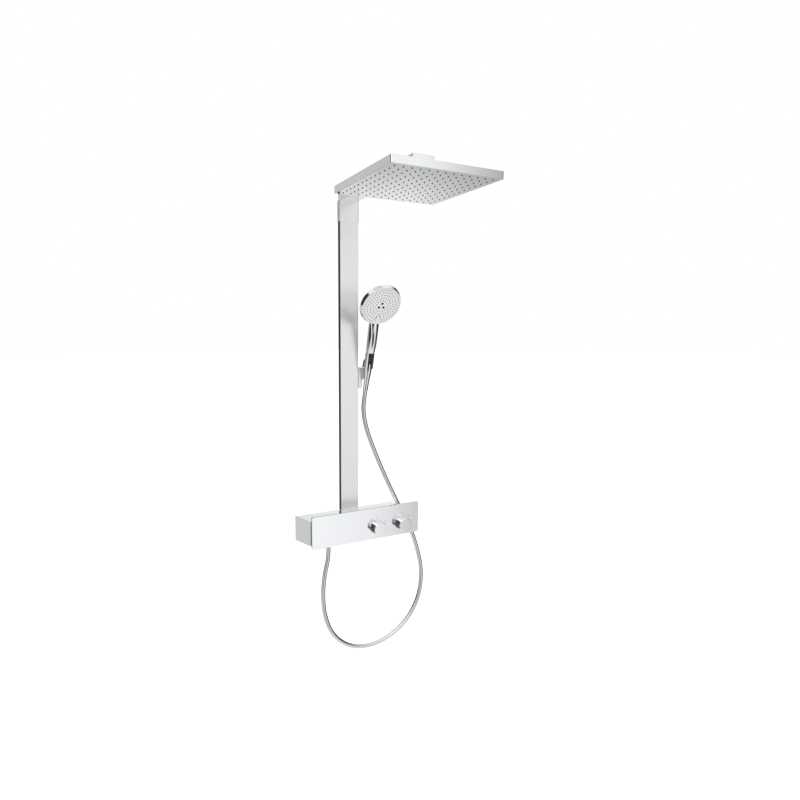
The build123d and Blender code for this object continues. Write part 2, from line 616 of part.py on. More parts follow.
GASKET_Z = MAT_Z + MAT_THICKNESS
GASKET_WIDTH = 5.0
with BuildPart() as head_gasket:
    with BuildSketch(Plane.XY.offset(GASKET_Z)):
        with Locations((0, HEAD_Y)):
            Rectangle(CHAMBER_SIDE, CHAMBER_SIDE)
            Rectangle(CHAMBER_SIDE - 2 * GASKET_WIDTH, CHAMBER_SIDE - 2 * GASKET_WIDTH, mode=Mode.SUBTRACT)
    extrude(amount=GASKET_THICKNESS)
head_gasket.part.label = "head_gasket"
export_step(head_gasket.part, "parts/head_gasket.step")

CHAMBER_Z = GASKET_Z + GASKET_THICKNESS
CHAMBER_TOP_Z = HEAD_TOP_Z - HEAD_WALL
with BuildPart() as head_chamber:
    with BuildSketch(Plane.XY.offset(CHAMBER_Z)):
        with Locations((0, HEAD_Y)):
            Rectangle(CHAMBER_SIDE, CHAMBER_SIDE)
    extrude(amount=CHAMBER_TOP_Z - CHAMBER_Z)
    with BuildSketch(Plane.XY.offset(CHAMBER_Z)):
        with Locations((0, HEAD_Y)):
            Rectangle(CHAMBER_SIDE - 2 * GASKET_WIDTH, CHAMBER_SIDE - 2 * GASKET_WIDTH)
    extrude(amount=CHAMBER_TOP_Z - CHAMBER_Z - CHAMBER_WALL, mode=Mode.SUBTRACT)
    with BuildSketch(Plane.XY.offset(CHAMBER_Z)):
        with Locations((0, HEAD_Y)):
            Circle(SPIGOT_RADIUS)
    extrude(amount=CHAMBER_TOP_Z - CHAMBER_Z, mode=Mode.SUBTRACT)
head_chamber.part.label = "head_chamber"
export_step(head_chamber.part, "parts/head_chamber.step")

# ---- mixer housing and panel ----
PANEL_HOLES = ((TEMPERATURE_X, AXIS_Z), (DIVERTER_X, AXIS_Z))
HOUSING_SCREW_RADIUS = 2.0
HOUSING_SCREWS = ((-40.0, -8.0), (40.0, -8.0))
with BuildPart() as tablet_housing:
    with BuildSketch(Plane.XY.offset(HOUSING_BOTTOM_Z)):
        with BuildLine():
            Polyline(*housing_plan(0, 0), close=True)
        make_face()
    extrude(amount=HOUSING_HEIGHT)
    fillet(tablet_housing.edges().filter_by(Axis.Z).group_by(Axis.Y)[0], HOUSING_EDGE)
    with BuildSketch(Plane.XY.offset(HOUSING_BOTTOM_Z + HOUSING_WALL)):
        with BuildLine():
            Polyline(*housing_plan(HOUSING_WALL, CUT), close=True)
        make_face()
    extrude(amount=HOUSING_HEIGHT - 2 * HOUSING_WALL, mode=Mode.SUBTRACT)
    with BuildSketch(Plane.XY.offset(HOUSING_HEIGHT / 2 - HOUSING_WALL)):
        with Locations((0, RISER_Y)):
            Circle(PIPE_RADIUS + PIPE_FIT)
    extrude(amount=HOUSING_WALL, mode=Mode.SUBTRACT)
    with BuildSketch(Plane.XY.offset(HOUSING_BOTTOM_Z)):
        with Locations((OUTLET_X, OUTLET_Y)):
            Circle(OUTLET_THREAD_RADIUS + 2 * PIPE_FIT)
        with Locations(*HOUSING_SCREWS):
            Circle(HOUSING_SCREW_RADIUS)
    extrude(amount=HOUSING_WALL, mode=Mode.SUBTRACT)
    with BuildSketch(Plane.XZ.offset(HOUSING_DEPTH - HOUSING_WALL)):
        with Locations(*PANEL_HOLES):
            Circle(PANEL_HOLE)
    extrude(amount=HOUSING_WALL, mode=Mode.SUBTRACT)
tablet_housing.part.label = "tablet_housing"
export_step(tablet_housing.part, "parts/tablet_housing.step")

FIXING_SPACING = 80.0
FIXING_HOLE_RADIUS = 2.75
FIXING_HEIGHT = 22.0
FIXING_WIDTH = 104.0
FIXING_PLATE = 2.5
FIXING_LIP = 16.0
FIXING_BOTTOM_Z = HOUSING_BOTTOM_Z + HOUSING_WALL + 0.3
FIXING_HOLE_Z = FIXING_BOTTOM_Z + FIXING_HEIGHT / 2 + 2.0
with BuildPart() as tablet_bracket:
    with BuildSketch(Plane.XZ):
        with Locations((0, FIXING_BOTTOM_Z + FIXING_HEIGHT / 2)):
            Rectangle(FIXING_WIDTH, FIXING_HEIGHT)
    extrude(amount=FIXING_PLATE)
    with BuildSketch(Plane.XY.offset(FIXING_BOTTOM_Z)):
        with Locations((0, -FIXING_LIP / 2)):
            Rectangle(FIXING_WIDTH, FIXING_LIP)
        with Locations(*HOUSING_SCREWS):
            Circle(HOUSING_SCREW_RADIUS, mode=Mode.SUBTRACT)
    extrude(amount=FIXING_PLATE)
    with BuildSketch(Plane.XZ):
        with Locations((-FIXING_SPACING / 2, FIXING_HOLE_Z), (FIXING_SPACING / 2, FIXING_HOLE_Z)):
            Circle(FIXING_HOLE_RADIUS)
    extrude(amount=FIXING_PLATE, mode=Mode.SUBTRACT)
tablet_bracket.part.label = "tablet_bracket"
export_step(tablet_bracket.part, "parts/tablet_bracket.step")

with BuildPart() as housing_screws:
    with BuildSketch(Plane.XY.offset(HOUSING_BOTTOM_Z)):
        with Locations(*HOUSING_SCREWS):
            Circle(HOUSING_SCREW_RADIUS)
    extrude(amount=FIXING_BOTTOM_Z + FIXING_PLATE - HOUSING_BOTTOM_Z)
housing_screws.part.label = "housing_screws"
export_step(housing_screws.part, "parts/housing_screws.step")

with BuildPart() as panel_carrier:
    with BuildSketch(Plane.XZ.offset(HOUSING_DEPTH)):
        with Locations((CARRIER_CENTRE_X, 0)):
            Rectangle(CARRIER_WIDTH, CARRIER_HEIGHT)
        with Locations(*PANEL_HOLES):
            Circle(PANEL_HOLE, mode=Mode.SUBTRACT)
    extrude(amount=CARRIER_THICKNESS)
panel_carrier.part.label = "panel_carrier"
export_step(panel_carrier.part, "parts/panel_carrier.step")

with BuildPart() as front_panel:
    with BuildSketch(Plane.XZ.offset(HOUSING_DEPTH + CARRIER_THICKNESS)):
        with Locations((PANEL_CENTRE_X, PANEL_CENTRE_Z)):
            RectangleRounded(PANEL_WIDTH, PANEL_HEIGHT, PANEL_CORNER)
        with Locations(*PANEL_HOLES):
            Circle(PANEL_HOLE, mode=Mode.SUBTRACT)
    extrude(amount=PANEL_THICKNESS)
    chamfer(front_panel.faces().sort_by(Axis.Y)[0].outer_wire().edges(), PANEL_EDGE)
front_panel.part.label = "front_panel"
export_step(front_panel.part, "parts/front_panel.step")

# ---- mixer and its cartridges ----
BOSS_FRONT = HOUSING_DEPTH - HOUSING_WALL - 0.2
BOSS_BACK = -BAR_Y - 12.0
CARTRIDGE_BACK = BOSS_BACK + 3.0
OUTLET_LEG_RADIUS = 12.5
OUTLET_LEG_BOTTOM_Z = HOUSING_BOTTOM_Z + HOUSING_WALL + 1.0
INLETS = (-INLET_SPACING / 2, INLET_SPACING / 2)
with BuildPart() as mixer_body:
    with BuildSketch(Plane.YZ.offset(BAR_LEFT)):
        with Locations((BAR_Y, AXIS_Z)):
            Circle(BAR_RADIUS)
    extrude(amount=BAR_RIGHT - BAR_LEFT)
    with BuildSketch(Plane.XZ.offset(-LEG_END_Y)):
        with Locations(*[(x, AXIS_Z) for x in INLETS]):
            Circle(LEG_RADIUS)
    extrude(amount=LEG_END_Y - BAR_Y)
    with BuildSketch(Plane.XZ.offset(BOSS_BACK)):
        with Locations(*PANEL_HOLES):
            Circle(BOSS_RADIUS)
    extrude(amount=BOSS_FRONT - BOSS_BACK)
    with BuildSketch(Plane.XY.offset(OUTLET_LEG_BOTTOM_Z)):
        with Locations((OUTLET_X, OUTLET_Y)):
            Circle(OUTLET_LEG_RADIUS)
    extrude(amount=AXIS_Z - OUTLET_LEG_BOTTOM_Z)
    with BuildSketch(Plane.YZ.offset(BAR_LEFT + BAR_RADIUS - BAR_BORE)):
        with Locations((BAR_Y, AXIS_Z)):
            Circle(BAR_BORE)
    extrude(amount=BAR_RIGHT - BAR_LEFT - 2 * (BAR_RADIUS - BAR_BORE), mode=Mode.SUBTRACT)
    with BuildSketch(Plane.XZ.offset(-LEG_END_Y)):
        with Locations(*[(x, AXIS_Z) for x in INLETS]):
            Circle(LEG_BORE)
    extrude(amount=LEG_END_Y - BAR_Y, mode=Mode.SUBTRACT)
    with BuildSketch(Plane.XZ.offset(CARTRIDGE_BACK)):
        with Locations(*PANEL_HOLES):
            Circle(CARTRIDGE_RADIUS + CARTRIDGE_FIT)
    extrude(amount=BOSS_FRONT - CARTRIDGE_BACK, mode=Mode.SUBTRACT)
    with BuildSketch(Plane.XY.offset(OUTLET_LEG_BOTTOM_Z)):
        with Locations((OUTLET_X, OUTLET_Y)):
            Circle(OUTLET_THREAD_RADIUS)
    extrude(amount=OUTLET_LENGTH / 2, mode=Mode.SUBTRACT)
    with BuildSketch(Plane.XZ.offset(-RISER_END_Y)):
        with Locations((0, AXIS_Z)):
            Circle(PIPE_BORE)
    extrude(amount=BAR_RADIUS, mode=Mode.SUBTRACT)
mixer_body.part.label = "mixer_body"
export_step(mixer_body.part, "parts/mixer_body.step")

UNION_COLLAR = 13.0
UNION_TAIL = 11.0
UNION_COLLAR_START = INLET_THREAD_LENGTH + 1.0
UNION_COLLAR_END = UNION_COLLAR_START + 5.0
UNION_END = INLET_THREAD_LENGTH - LEG_END_Y
union_outline = (
    (INLET_BORE, 0),
    (INLET_THREAD_RADIUS, 0),
    (INLET_THREAD_RADIUS, UNION_COLLAR_START),
    (UNION_COLLAR, UNION_COLLAR_START),
    (UNION_COLLAR, UNION_COLLAR_END),
    (UNION_TAIL, UNION_COLLAR_END),
    (UNION_TAIL, UNION_END),
    (INLET_BORE, UNION_END),
)
union_left = turned((INLETS[0], INLET_THREAD_LENGTH, AXIS_Z), OUTWARD, union_outline)
union_right = turned((INLETS[1], INLET_THREAD_LENGTH, AXIS_Z), OUTWARD, union_outline)
with BuildPart() as inlet_unions:
    add(union_left.part)
    add(union_right.part)
inlet_unions.part.label = "inlet_unions"
export_step(inlet_unions.part, "parts/inlet_unions.step")

UNION_NUT_BACK = 9.5
UNION_NUT_FRONT = 27.2
THREAD_GAP = 0.1
with BuildPart() as union_nuts:
    for x in INLETS:
        with BuildSketch(Plane.XZ.offset(UNION_NUT_BACK)):
            with Locations((x, AXIS_Z)):
                RegularPolygon(UNION_NUT_FLATS / 2, 6, major_radius=False)
        extrude(amount=UNION_NUT_FRONT - UNION_NUT_BACK)
        with BuildSketch(Plane.XZ.offset(UNION_NUT_BACK)):
            with Locations((x, AXIS_Z)):
                Circle(UNION_TAIL + THREAD_GAP)
        extrude(amount=-LEG_END_Y - UNION_NUT_BACK, mode=Mode.SUBTRACT)
        with BuildSketch(Plane.XZ.offset(-LEG_END_Y)):
            with Locations((x, AXIS_Z)):
                Circle(LEG_RADIUS + THREAD_GAP)
        extrude(amount=UNION_NUT_FRONT + LEG_END_Y, mode=Mode.SUBTRACT)
union_nuts.part.label = "union_nuts"
export_step(union_nuts.part, "parts/union_nuts.step")

VALVE_LENGTH = 12.0
with BuildPart() as check_valves:
    with BuildSketch(Plane.XZ.offset(-LEG_END_Y)):
        with Locations(*[(x, AXIS_Z) for x in INLETS]):
            Circle(LEG_BORE)
            Circle(LEG_BORE / 2, mode=Mode.SUBTRACT)
    extrude(amount=VALVE_LENGTH)
check_valves.part.label = "check_valves"
export_step(check_valves.part, "parts/check_valves.step")

RING_STAND = 3.0
NOSE_END = PANEL_FRONT + 5.0
NECK_START = BOSS_FRONT - 4.0
SPINDLE_START = CARTRIDGE_BACK + 14.0
SPINDLE_END = KNOB_FRONT - 8.0
cartridge_outline = (
    (0, CARTRIDGE_BACK),
    (CARTRIDGE_RADIUS, CARTRIDGE_BACK),
    (CARTRIDGE_RADIUS, NECK_START),
    (CARTRIDGE_NOSE, NECK_START),
    (CARTRIDGE_NOSE, NOSE_END),
    (SPINDLE_RADIUS + SPINDLE_GAP, NOSE_END),
    (SPINDLE_RADIUS + SPINDLE_GAP, SPINDLE_START),
    (0, SPINDLE_START),
)
thermostat_cartridge = turned((TEMPERATURE_X, 0, AXIS_Z), OUTWARD, cartridge_outline)
thermostat_cartridge.part.label = "thermostat_cartridge"
export_step(thermostat_cartridge.part, "parts/thermostat_cartridge.step")

diverter_cartridge = turned((DIVERTER_X, 0, AXIS_Z), OUTWARD, cartridge_outline)
diverter_cartridge.part.label = "diverter_cartridge"
export_step(diverter_cartridge.part, "parts/diverter_cartridge.step")

with BuildPart() as cartridge_nuts:
    with BuildSketch(Plane.XZ.offset(NECK_START)):
        with Locations(*PANEL_HOLES):
            Circle(CARTRIDGE_RADIUS)
            Circle(CARTRIDGE_NOSE + CARTRIDGE_FIT, mode=Mode.SUBTRACT)
    extrude(amount=BOSS_FRONT + RING_STAND - NECK_START)
cartridge_nuts.part.label = "cartridge_nuts"
export_step(cartridge_nuts.part, "parts/cartridge_nuts.step")

STOP_RADIUS = 13.0
STOP_LENGTH = 3.0
with BuildPart() as stop_rings:
    with BuildSketch(Plane.XZ.offset(NOSE_END - STOP_LENGTH)):
        with Locations(*PANEL_HOLES):
            Circle(STOP_RADIUS)
            Circle(CARTRIDGE_NOSE, mode=Mode.SUBTRACT)
    extrude(amount=STOP_LENGTH)
stop_rings.part.label = "stop_rings"
export_step(stop_rings.part, "parts/stop_rings.step")

spindle_outline = (
    (0, SPINDLE_START + SLIDER_GAP),
    (SPINDLE_RADIUS, SPINDLE_START + SLIDER_GAP),
    (SPINDLE_RADIUS, SPINDLE_END),
    (0, SPINDLE_END),
)
temperature_spindle = turned((TEMPERATURE_X, 0, AXIS_Z), OUTWARD, spindle_outline)
temperature_spindle.part.label = "temperature_spindle"
export_step(temperature_spindle.part, "parts/temperature_spindle.step")

diverter_spindle = turned((DIVERTER_X, 0, AXIS_Z), OUTWARD, spindle_outline)
diverter_spindle.part.label = "diverter_spindle"
export_step(diverter_spindle.part, "parts/diverter_spindle.step")

KNOB_SOCKET = 7.0
KNOB_SOCKET_START = NOSE_END + 2.0
KNOB_INSIDE_D = KNOB_FRONT - 6.0
knob_outline = (
    (KNOB_RADIUS - KNOB_WALL, KNOB_BACK),
    (KNOB_RADIUS, KNOB_BACK),
    (KNOB_FRONT_RADIUS, KNOB_FRONT - KNOB_EDGE),
    (KNOB_FRONT_RADIUS - KNOB_EDGE, KNOB_FRONT),
    (0, KNOB_FRONT),
    (0, SPINDLE_END),
    (SPINDLE_RADIUS, SPINDLE_END),
    (SPINDLE_RADIUS, KNOB_SOCKET_START),
    (KNOB_SOCKET, KNOB_SOCKET_START),
    (KNOB_SOCKET, KNOB_INSIDE_D),
    (KNOB_RADIUS - 2 * KNOB_WALL, KNOB_INSIDE_D),
)
temperature_knob = turned((TEMPERATURE_X, 0, AXIS_Z), OUTWARD, knob_outline)
temperature_knob.part.label = "temperature_knob"
export_step(temperature_knob.part, "parts/temperature_knob.step")

diverter_knob = turned((DIVERTER_X, 0, AXIS_Z), OUTWARD, knob_outline)
diverter_knob.part.label = "diverter_knob"
export_step(diverter_knob.part, "parts/diverter_knob.step")

# ---- hose and its fittings ----
OUTLET_BORE = 5.0
OUTLET_THREAD_END = OUTLET_LENGTH + 4.0
OUTLET_TOP_Z = OUTLET_LEG_BOTTOM_Z + OUTLET_LENGTH / 2
with BuildPart() as hose_outlet:
    with BuildSketch(Plane.XY.offset(OUTLET_TOP_Z)):
        with Locations((OUTLET_X, OUTLET_Y)):
            Circle(OUTLET_THREAD_RADIUS)
            Circle(OUTLET_BORE, mode=Mode.SUBTRACT)
    extrude(amount=-OUTLET_THREAD_END)
hose_outlet.part.label = "hose_outlet"
export_step(hose_outlet.part, "parts/hose_outlet.step")

NUT_WALL_RADIUS = 12.0
NUT_FLOOR = OUTLET_TOP_Z - OUTLET_THREAD_END
LOWER_NUT_TAPER = 9.0
lower_nut_outline = (
    (OUTLET_BORE, LOWER_NUT_BOTTOM_Z),
    (NUT_NARROW_RADIUS, LOWER_NUT_BOTTOM_Z),
    (NUT_WALL_RADIUS, LOWER_NUT_BOTTOM_Z + LOWER_NUT_TAPER),
    (NUT_WALL_RADIUS, LOWER_NUT_TOP_Z),
    (OUTLET_THREAD_RADIUS + THREAD_GAP, LOWER_NUT_TOP_Z),
    (OUTLET_THREAD_RADIUS + THREAD_GAP, NUT_FLOOR),
    (OUTLET_BORE, NUT_FLOOR),
)
hose_nut_lower = turned((OUTLET_X, OUTLET_Y, 0), UPWARD, lower_nut_outline)
hose_nut_lower.part.label = "hose_nut_lower"
export_step(hose_nut_lower.part, "parts/hose_nut_lower.step")

UPPER_NUT_THREAD = 14.0
UPPER_NUT_FLOOR = UPPER_NUT_LENGTH - UPPER_NUT_THREAD
UPPER_NUT_TAPER = (20.0, 68.0)
UPPER_NUT_SWELL = 0.6
upper_nut_outline = (
    (OUTLET_BORE, 0),
    (NUT_NARROW_RADIUS, 0),
    (NUT_NARROW_RADIUS + UPPER_NUT_SWELL, UPPER_NUT_TAPER[0]),
    (NUT_WIDE_RADIUS, UPPER_NUT_TAPER[1]),
    (NUT_WIDE_RADIUS, UPPER_NUT_LENGTH),
    (OUTLET_THREAD_RADIUS + THREAD_GAP, UPPER_NUT_LENGTH),
    (OUTLET_THREAD_RADIUS + THREAD_GAP, UPPER_NUT_FLOOR),
    (OUTLET_BORE, UPPER_NUT_FLOOR),
)
hose_nut_upper = turned(HANDSET_FOOT, HANDLE_AXIS, upper_nut_outline)
hose_nut_upper.part.label = "hose_nut_upper"
export_step(hose_nut_upper.part, "parts/hose_nut_upper.step")

# The hose leaves the upper nut along the hand shower's lean, runs down beside the column,
# passes behind the panel in the housing's notch and hangs in one loop to the lower nut.
HOSE_ROUTE = (
    HANDSET_FOOT,
    point_along(HANDSET_FOOT, HANDLE_AXIS, -25.0),
    (49.0, -13.0, 362.0),
    (62.0, -14.0, 296.0),
    (102.0, -15.0, 197.0),
    (160.0, -16.5, 73.0),
    (236.0, -18.0, -70.0),
    (262.0, -19.0, -148.0),
    (278.0, -20.0, -222.0),
    (272.0, -21.0, -295.0),
    (243.0, -23.0, -362.0),
    (190.0, -25.0, -414.0),
    (121.0, -27.0, -444.0),
    (47.0, -29.0, -448.0),
    (-20.0, -31.0, -424.0),
    (-73.0, -33.0, -371.0),
    (-100.0, -35.0, -299.0),
    (-107.0, -37.0, -225.0),
    (-101.0, -39.0, -155.0),
    (OUTLET_X, OUTLET_Y, -102.0),
    (OUTLET_X, OUTLET_Y, LOWER_NUT_BOTTOM_Z),
)


ARC_SHARE = 0.45


def arc_radii(route):
    """Each corner's arc takes ARC_SHARE of its shorter run."""
    points = [Vector(*p) for p in route]
    runs = [b - a for a, b in zip(points, points[1:])]
    radii = []
    for before, after in zip(runs, runs[1:]):
        half_turn = radians(before.get_angle(after)) / 2
        radii.append(ARC_SHARE * min(before.length, after.length) / tan(half_turn))
    return radii


HOSE_RADII = arc_radii(HOSE_ROUTE)
print("hose arc radii, mm:", [round(r) for r in HOSE_RADII])
with BuildPart() as hose_tube:
    with BuildLine() as hose_path:
        FilletPolyline(*HOSE_ROUTE, radius=HOSE_RADII)
    with BuildSketch(across(HANDSET_FOOT, [-a for a in HANDLE_AXIS])):
        Circle(HOSE_RADIUS)
    sweep()
hose_length = sum(edge.length for edge in hose_path.edges())
hose_volume = pi * HOSE_RADIUS**2 * hose_length
print("hose length, mm:", round(hose_length, 1))
print("hose volume over section times length:", round(hose_tube.part.volume / hose_volume, 4))
hose_tube.part.label = "hose_tube"
export_step(hose_tube.part, "parts/hose_tube.step")

# ---- slider and holder ----
with BuildPart() as slider_block:
    with BuildSketch(Plane.XY.offset(SLIDER_BOTTOM_Z)):
        with Locations((SLIDER_LEFT + SLIDER_WIDTH / 2, (SLIDER_FRONT_Y + SLIDER_BACK_Y) / 2)):
            Rectangle(SLIDER_WIDTH, SLIDER_BACK_Y - SLIDER_FRONT_Y)
    extrude(amount=SLIDER_TOP_Z - SLIDER_BOTTOM_Z)
    fillet(slider_block.edges().filter_by(Axis.X), SLIDER_CORNER)
    with BuildSketch(Plane.YZ.offset(SLIDER_LEFT)):
        with Locations((PIVOT_Y, PIVOT_Z)):
            Circle(PIVOT_RADIUS)
    extrude(amount=SLIDER_WIDTH, mode=Mode.SUBTRACT)
slider_block.part.label = "slider_block"
export_step(slider_block.part, "parts/slider_block.step")

KEY_LENGTH = 50.0
KEY_MIDDLE_Z = (SLIDER_BOTTOM_Z + SLIDER_TOP_Z) / 2
with BuildPart() as slider_key:
    with BuildSketch(Plane.XY.offset(KEY_MIDDLE_Z - KEY_LENGTH / 2)):
        key_left = HALF_COLUMN - GROOVE_DEPTH + SLIDER_GAP
        key_head_right = HALF_COLUMN - GROOVE_LIP - SLIDER_GAP
        with Locations(((key_left + key_head_right) / 2, GROOVE_Y)):
            Rectangle(key_head_right - key_left, GROOVE_HEAD - 2 * SLIDER_GAP)
        with Locations(((key_left + SLIDER_LEFT) / 2, GROOVE_Y)):
            Rectangle(SLIDER_LEFT - key_left, GROOVE_MOUTH - 2 * SLIDER_GAP)
    extrude(amount=KEY_LENGTH)
slider_key.part.label = "slider_key"
export_step(slider_key.part, "parts/slider_key.step")

PIN_HEAD_RADIUS = 6.5
PIN_HEAD = 1.6
with BuildPart() as holder_pivot_pin:
    with BuildSketch(Plane.YZ.offset(SLIDER_LEFT)):
        with Locations((PIVOT_Y, PIVOT_Z)):
            Circle(PIVOT_RADIUS)
    extrude(amount=ARM_PLATE_RIGHT + SLIDER_GAP - SLIDER_LEFT)
    with BuildSketch(Plane.YZ.offset(ARM_PLATE_RIGHT + SLIDER_GAP)):
        with Locations((PIVOT_Y, PIVOT_Z)):
            Circle(PIN_HEAD_RADIUS)
    extrude(amount=PIN_HEAD)
holder_pivot_pin.part.label = "holder_pivot_pin"
export_step(holder_pivot_pin.part, "parts/holder_pivot_pin.step")

LINER_OUTER = HOLDER_RADIUS - HOLDER_WALL
HOLDER_BORE = LINER_OUTER - LINER_WALL
HOLDER_BASE = point_along(HANDSET_FOOT, HANDLE_AXIS, HOLDER_START)
HOLDER_PLANE = across(HOLDER_BASE, HANDLE_AXIS)
SLOT_PLANE = HOLDER_PLANE.rotated((0, 0, HOLDER_SLOT_TURN))
# the arm's outline: distances forward of the pivot and above it
ARM_OUTLINE = (
    (ARM_EYE_RADIUS, 0.0),
    (12.5, 20.0),
    (14.5, 31.0),
    (27.0, 36.0),
    (33.0, 60.0),
    (19.0, 58.0),
    (-5.0, 26.0),
    (-ARM_EYE_RADIUS, 0.0),
)
ARM_PROFILE = [(PIVOT_Y - forward, PIVOT_Z + rise) for forward, rise in ARM_OUTLINE]
with BuildPart() as holder_sleeve:
    with BuildSketch(HOLDER_PLANE):
        Circle(HOLDER_RADIUS)
    extrude(amount=HOLDER_LENGTH)
    with BuildSketch(Plane.YZ.offset(ARM_PLATE_LEFT)):
        with BuildLine():
            Polyline(*ARM_PROFILE, close=True)
        make_face()
        with Locations((PIVOT_Y, PIVOT_Z)):
            Circle(ARM_EYE_RADIUS)
            Circle(PIVOT_RADIUS + PIVOT_GAP, mode=Mode.SUBTRACT)
    extrude(amount=ARM_PLATE)
    with BuildSketch(HOLDER_PLANE):
        Circle(LINER_OUTER)
    extrude(amount=HOLDER_LENGTH, mode=Mode.SUBTRACT)
    with BuildSketch(SLOT_PLANE):
        with Locations((0, -HOLDER_RADIUS)):
            Rectangle(HOLDER_SLOT, 2 * HOLDER_RADIUS)
    extrude(amount=HOLDER_LENGTH, mode=Mode.SUBTRACT)
    with BuildSketch(HOLDER_PLANE):
        Circle(NUT_WIDE_RADIUS + 2 * HOLDER_CLEARANCE)
    extrude(amount=-HOLDER_RADIUS, mode=Mode.SUBTRACT)
holder_sleeve.part.label = "holder_sleeve"
export_step(holder_sleeve.part, "parts/holder_sleeve.step")

with BuildPart() as holder_liner:
    with BuildSketch(HOLDER_PLANE):
        Circle(LINER_OUTER)
        Circle(HOLDER_BORE, mode=Mode.SUBTRACT)
    extrude(amount=HOLDER_LENGTH)
    with BuildSketch(SLOT_PLANE):
        with Locations((0, -HOLDER_RADIUS)):
            Rectangle(LINER_SLIT, 2 * HOLDER_RADIUS)
    extrude(amount=HOLDER_LENGTH, mode=Mode.SUBTRACT)
holder_liner.part.label = "holder_liner"
export_step(holder_liner.part, "parts/holder_liner.step")

# ---- hand shower ----
WASHER_THICKNESS = 2.0
WASHER_PLAY = 0.5
CONNECTOR_PLAY = 0.4
CONNECTOR_START = UPPER_NUT_FLOOR + WASHER_THICKNESS
CONNECTOR_STEP = UPPER_NUT_LENGTH + CONNECTOR_PLAY
CONNECTOR_SPIGOT = 9.0
CONNECTOR_SPIGOT_LENGTH = 12.0
CONNECTOR_BORE = 5.0
connector_outline = (
    (CONNECTOR_BORE, CONNECTOR_START),
    (OUTLET_THREAD_RADIUS, CONNECTOR_START),
    (OUTLET_THREAD_RADIUS, CONNECTOR_STEP),
    (NUT_WIDE_RADIUS, CONNECTOR_STEP),
    (NUT_WIDE_RADIUS + CONNECTOR_PLAY, HANDLE_START),
    (CONNECTOR_SPIGOT, HANDLE_START),
    (CONNECTOR_SPIGOT, HANDLE_START + CONNECTOR_SPIGOT_LENGTH),
    (CONNECTOR_BORE, HANDLE_START + CONNECTOR_SPIGOT_LENGTH),
)
handset_connector = turned(HANDSET_FOOT, HANDLE_AXIS, connector_outline)
handset_connector.part.label = "handset_connector"
export_step(handset_connector.part, "parts/handset_connector.step")

washer_outline = (
    (OUTLET_BORE, UPPER_NUT_FLOOR),
    (OUTLET_THREAD_RADIUS - WASHER_PLAY, UPPER_NUT_FLOOR),
    (OUTLET_THREAD_RADIUS - WASHER_PLAY, CONNECTOR_START),
    (OUTLET_BORE, CONNECTOR_START),
)
handset_washer = turned(HANDSET_FOOT, HANDLE_AXIS, washer_outline)
handset_washer.part.label = "handset_washer"
export_step(handset_washer.part, "parts/handset_washer.step")

SPRAY_WALL = 2.5
SPRAY_PLAY = 0.2
CHAMBER_D = 2.0
SPRAY_RIM_HEIGHT = 9.0
SPRAY_BULGE = 0.72
SPRAY_POCKET_STEP = 12.0
NECK_BEND_DROP = 60.0
NECK_BEND_BACK = 4.0
NECK_END_DROP = 20.0
NECK_END_BACK = 9.0
NECK_BEND_SIZE = (1.0, -3.4)
NECK_END_FLARE = 4.0
NECK_END_FLATNESS = 0.45
SPRAY_INSIDE = SPRAY_FACE_RADIUS + SPRAY_PLAY
PLATE_BACK_D = SPRAY_FACE_D - SPRAY_PLATE
HANDLE_FOOT_POINT = point_along(HANDSET_FOOT, HANDLE_AXIS, HANDLE_START)
HANDLE_NECK_POINT = point_along(HANDSET_FOOT, HANDLE_AXIS, HANDLE_START + HANDLE_LENGTH)
SPRAY_NORMAL = Vector(1, 0, 0).cross(Vector(*SPRAY_AXIS))
SPRAY_SIDE = Plane(origin=SPRAY_CENTRE, x_dir=(1, 0, 0), z_dir=SPRAY_NORMAL)
NECK_TILT = (LEAN + SPRAY_TILT) / 2
NECK_AXIS = (0, -sin(radians(NECK_TILT)), cos(radians(NECK_TILT)))
NECK_BEND_BASE = point_along(SPRAY_CENTRE, SPRAY_DOWN, NECK_BEND_DROP)
NECK_BEND_POINT = point_along(NECK_BEND_BASE, SPRAY_AXIS, -NECK_BEND_BACK)
SPRAY_UP = tuple(-d for d in SPRAY_DOWN)
NECK_END_BASE = point_along(SPRAY_CENTRE, SPRAY_DOWN, NECK_END_DROP)
NECK_END_POINT = point_along(NECK_END_BASE, SPRAY_AXIS, -NECK_END_BACK)
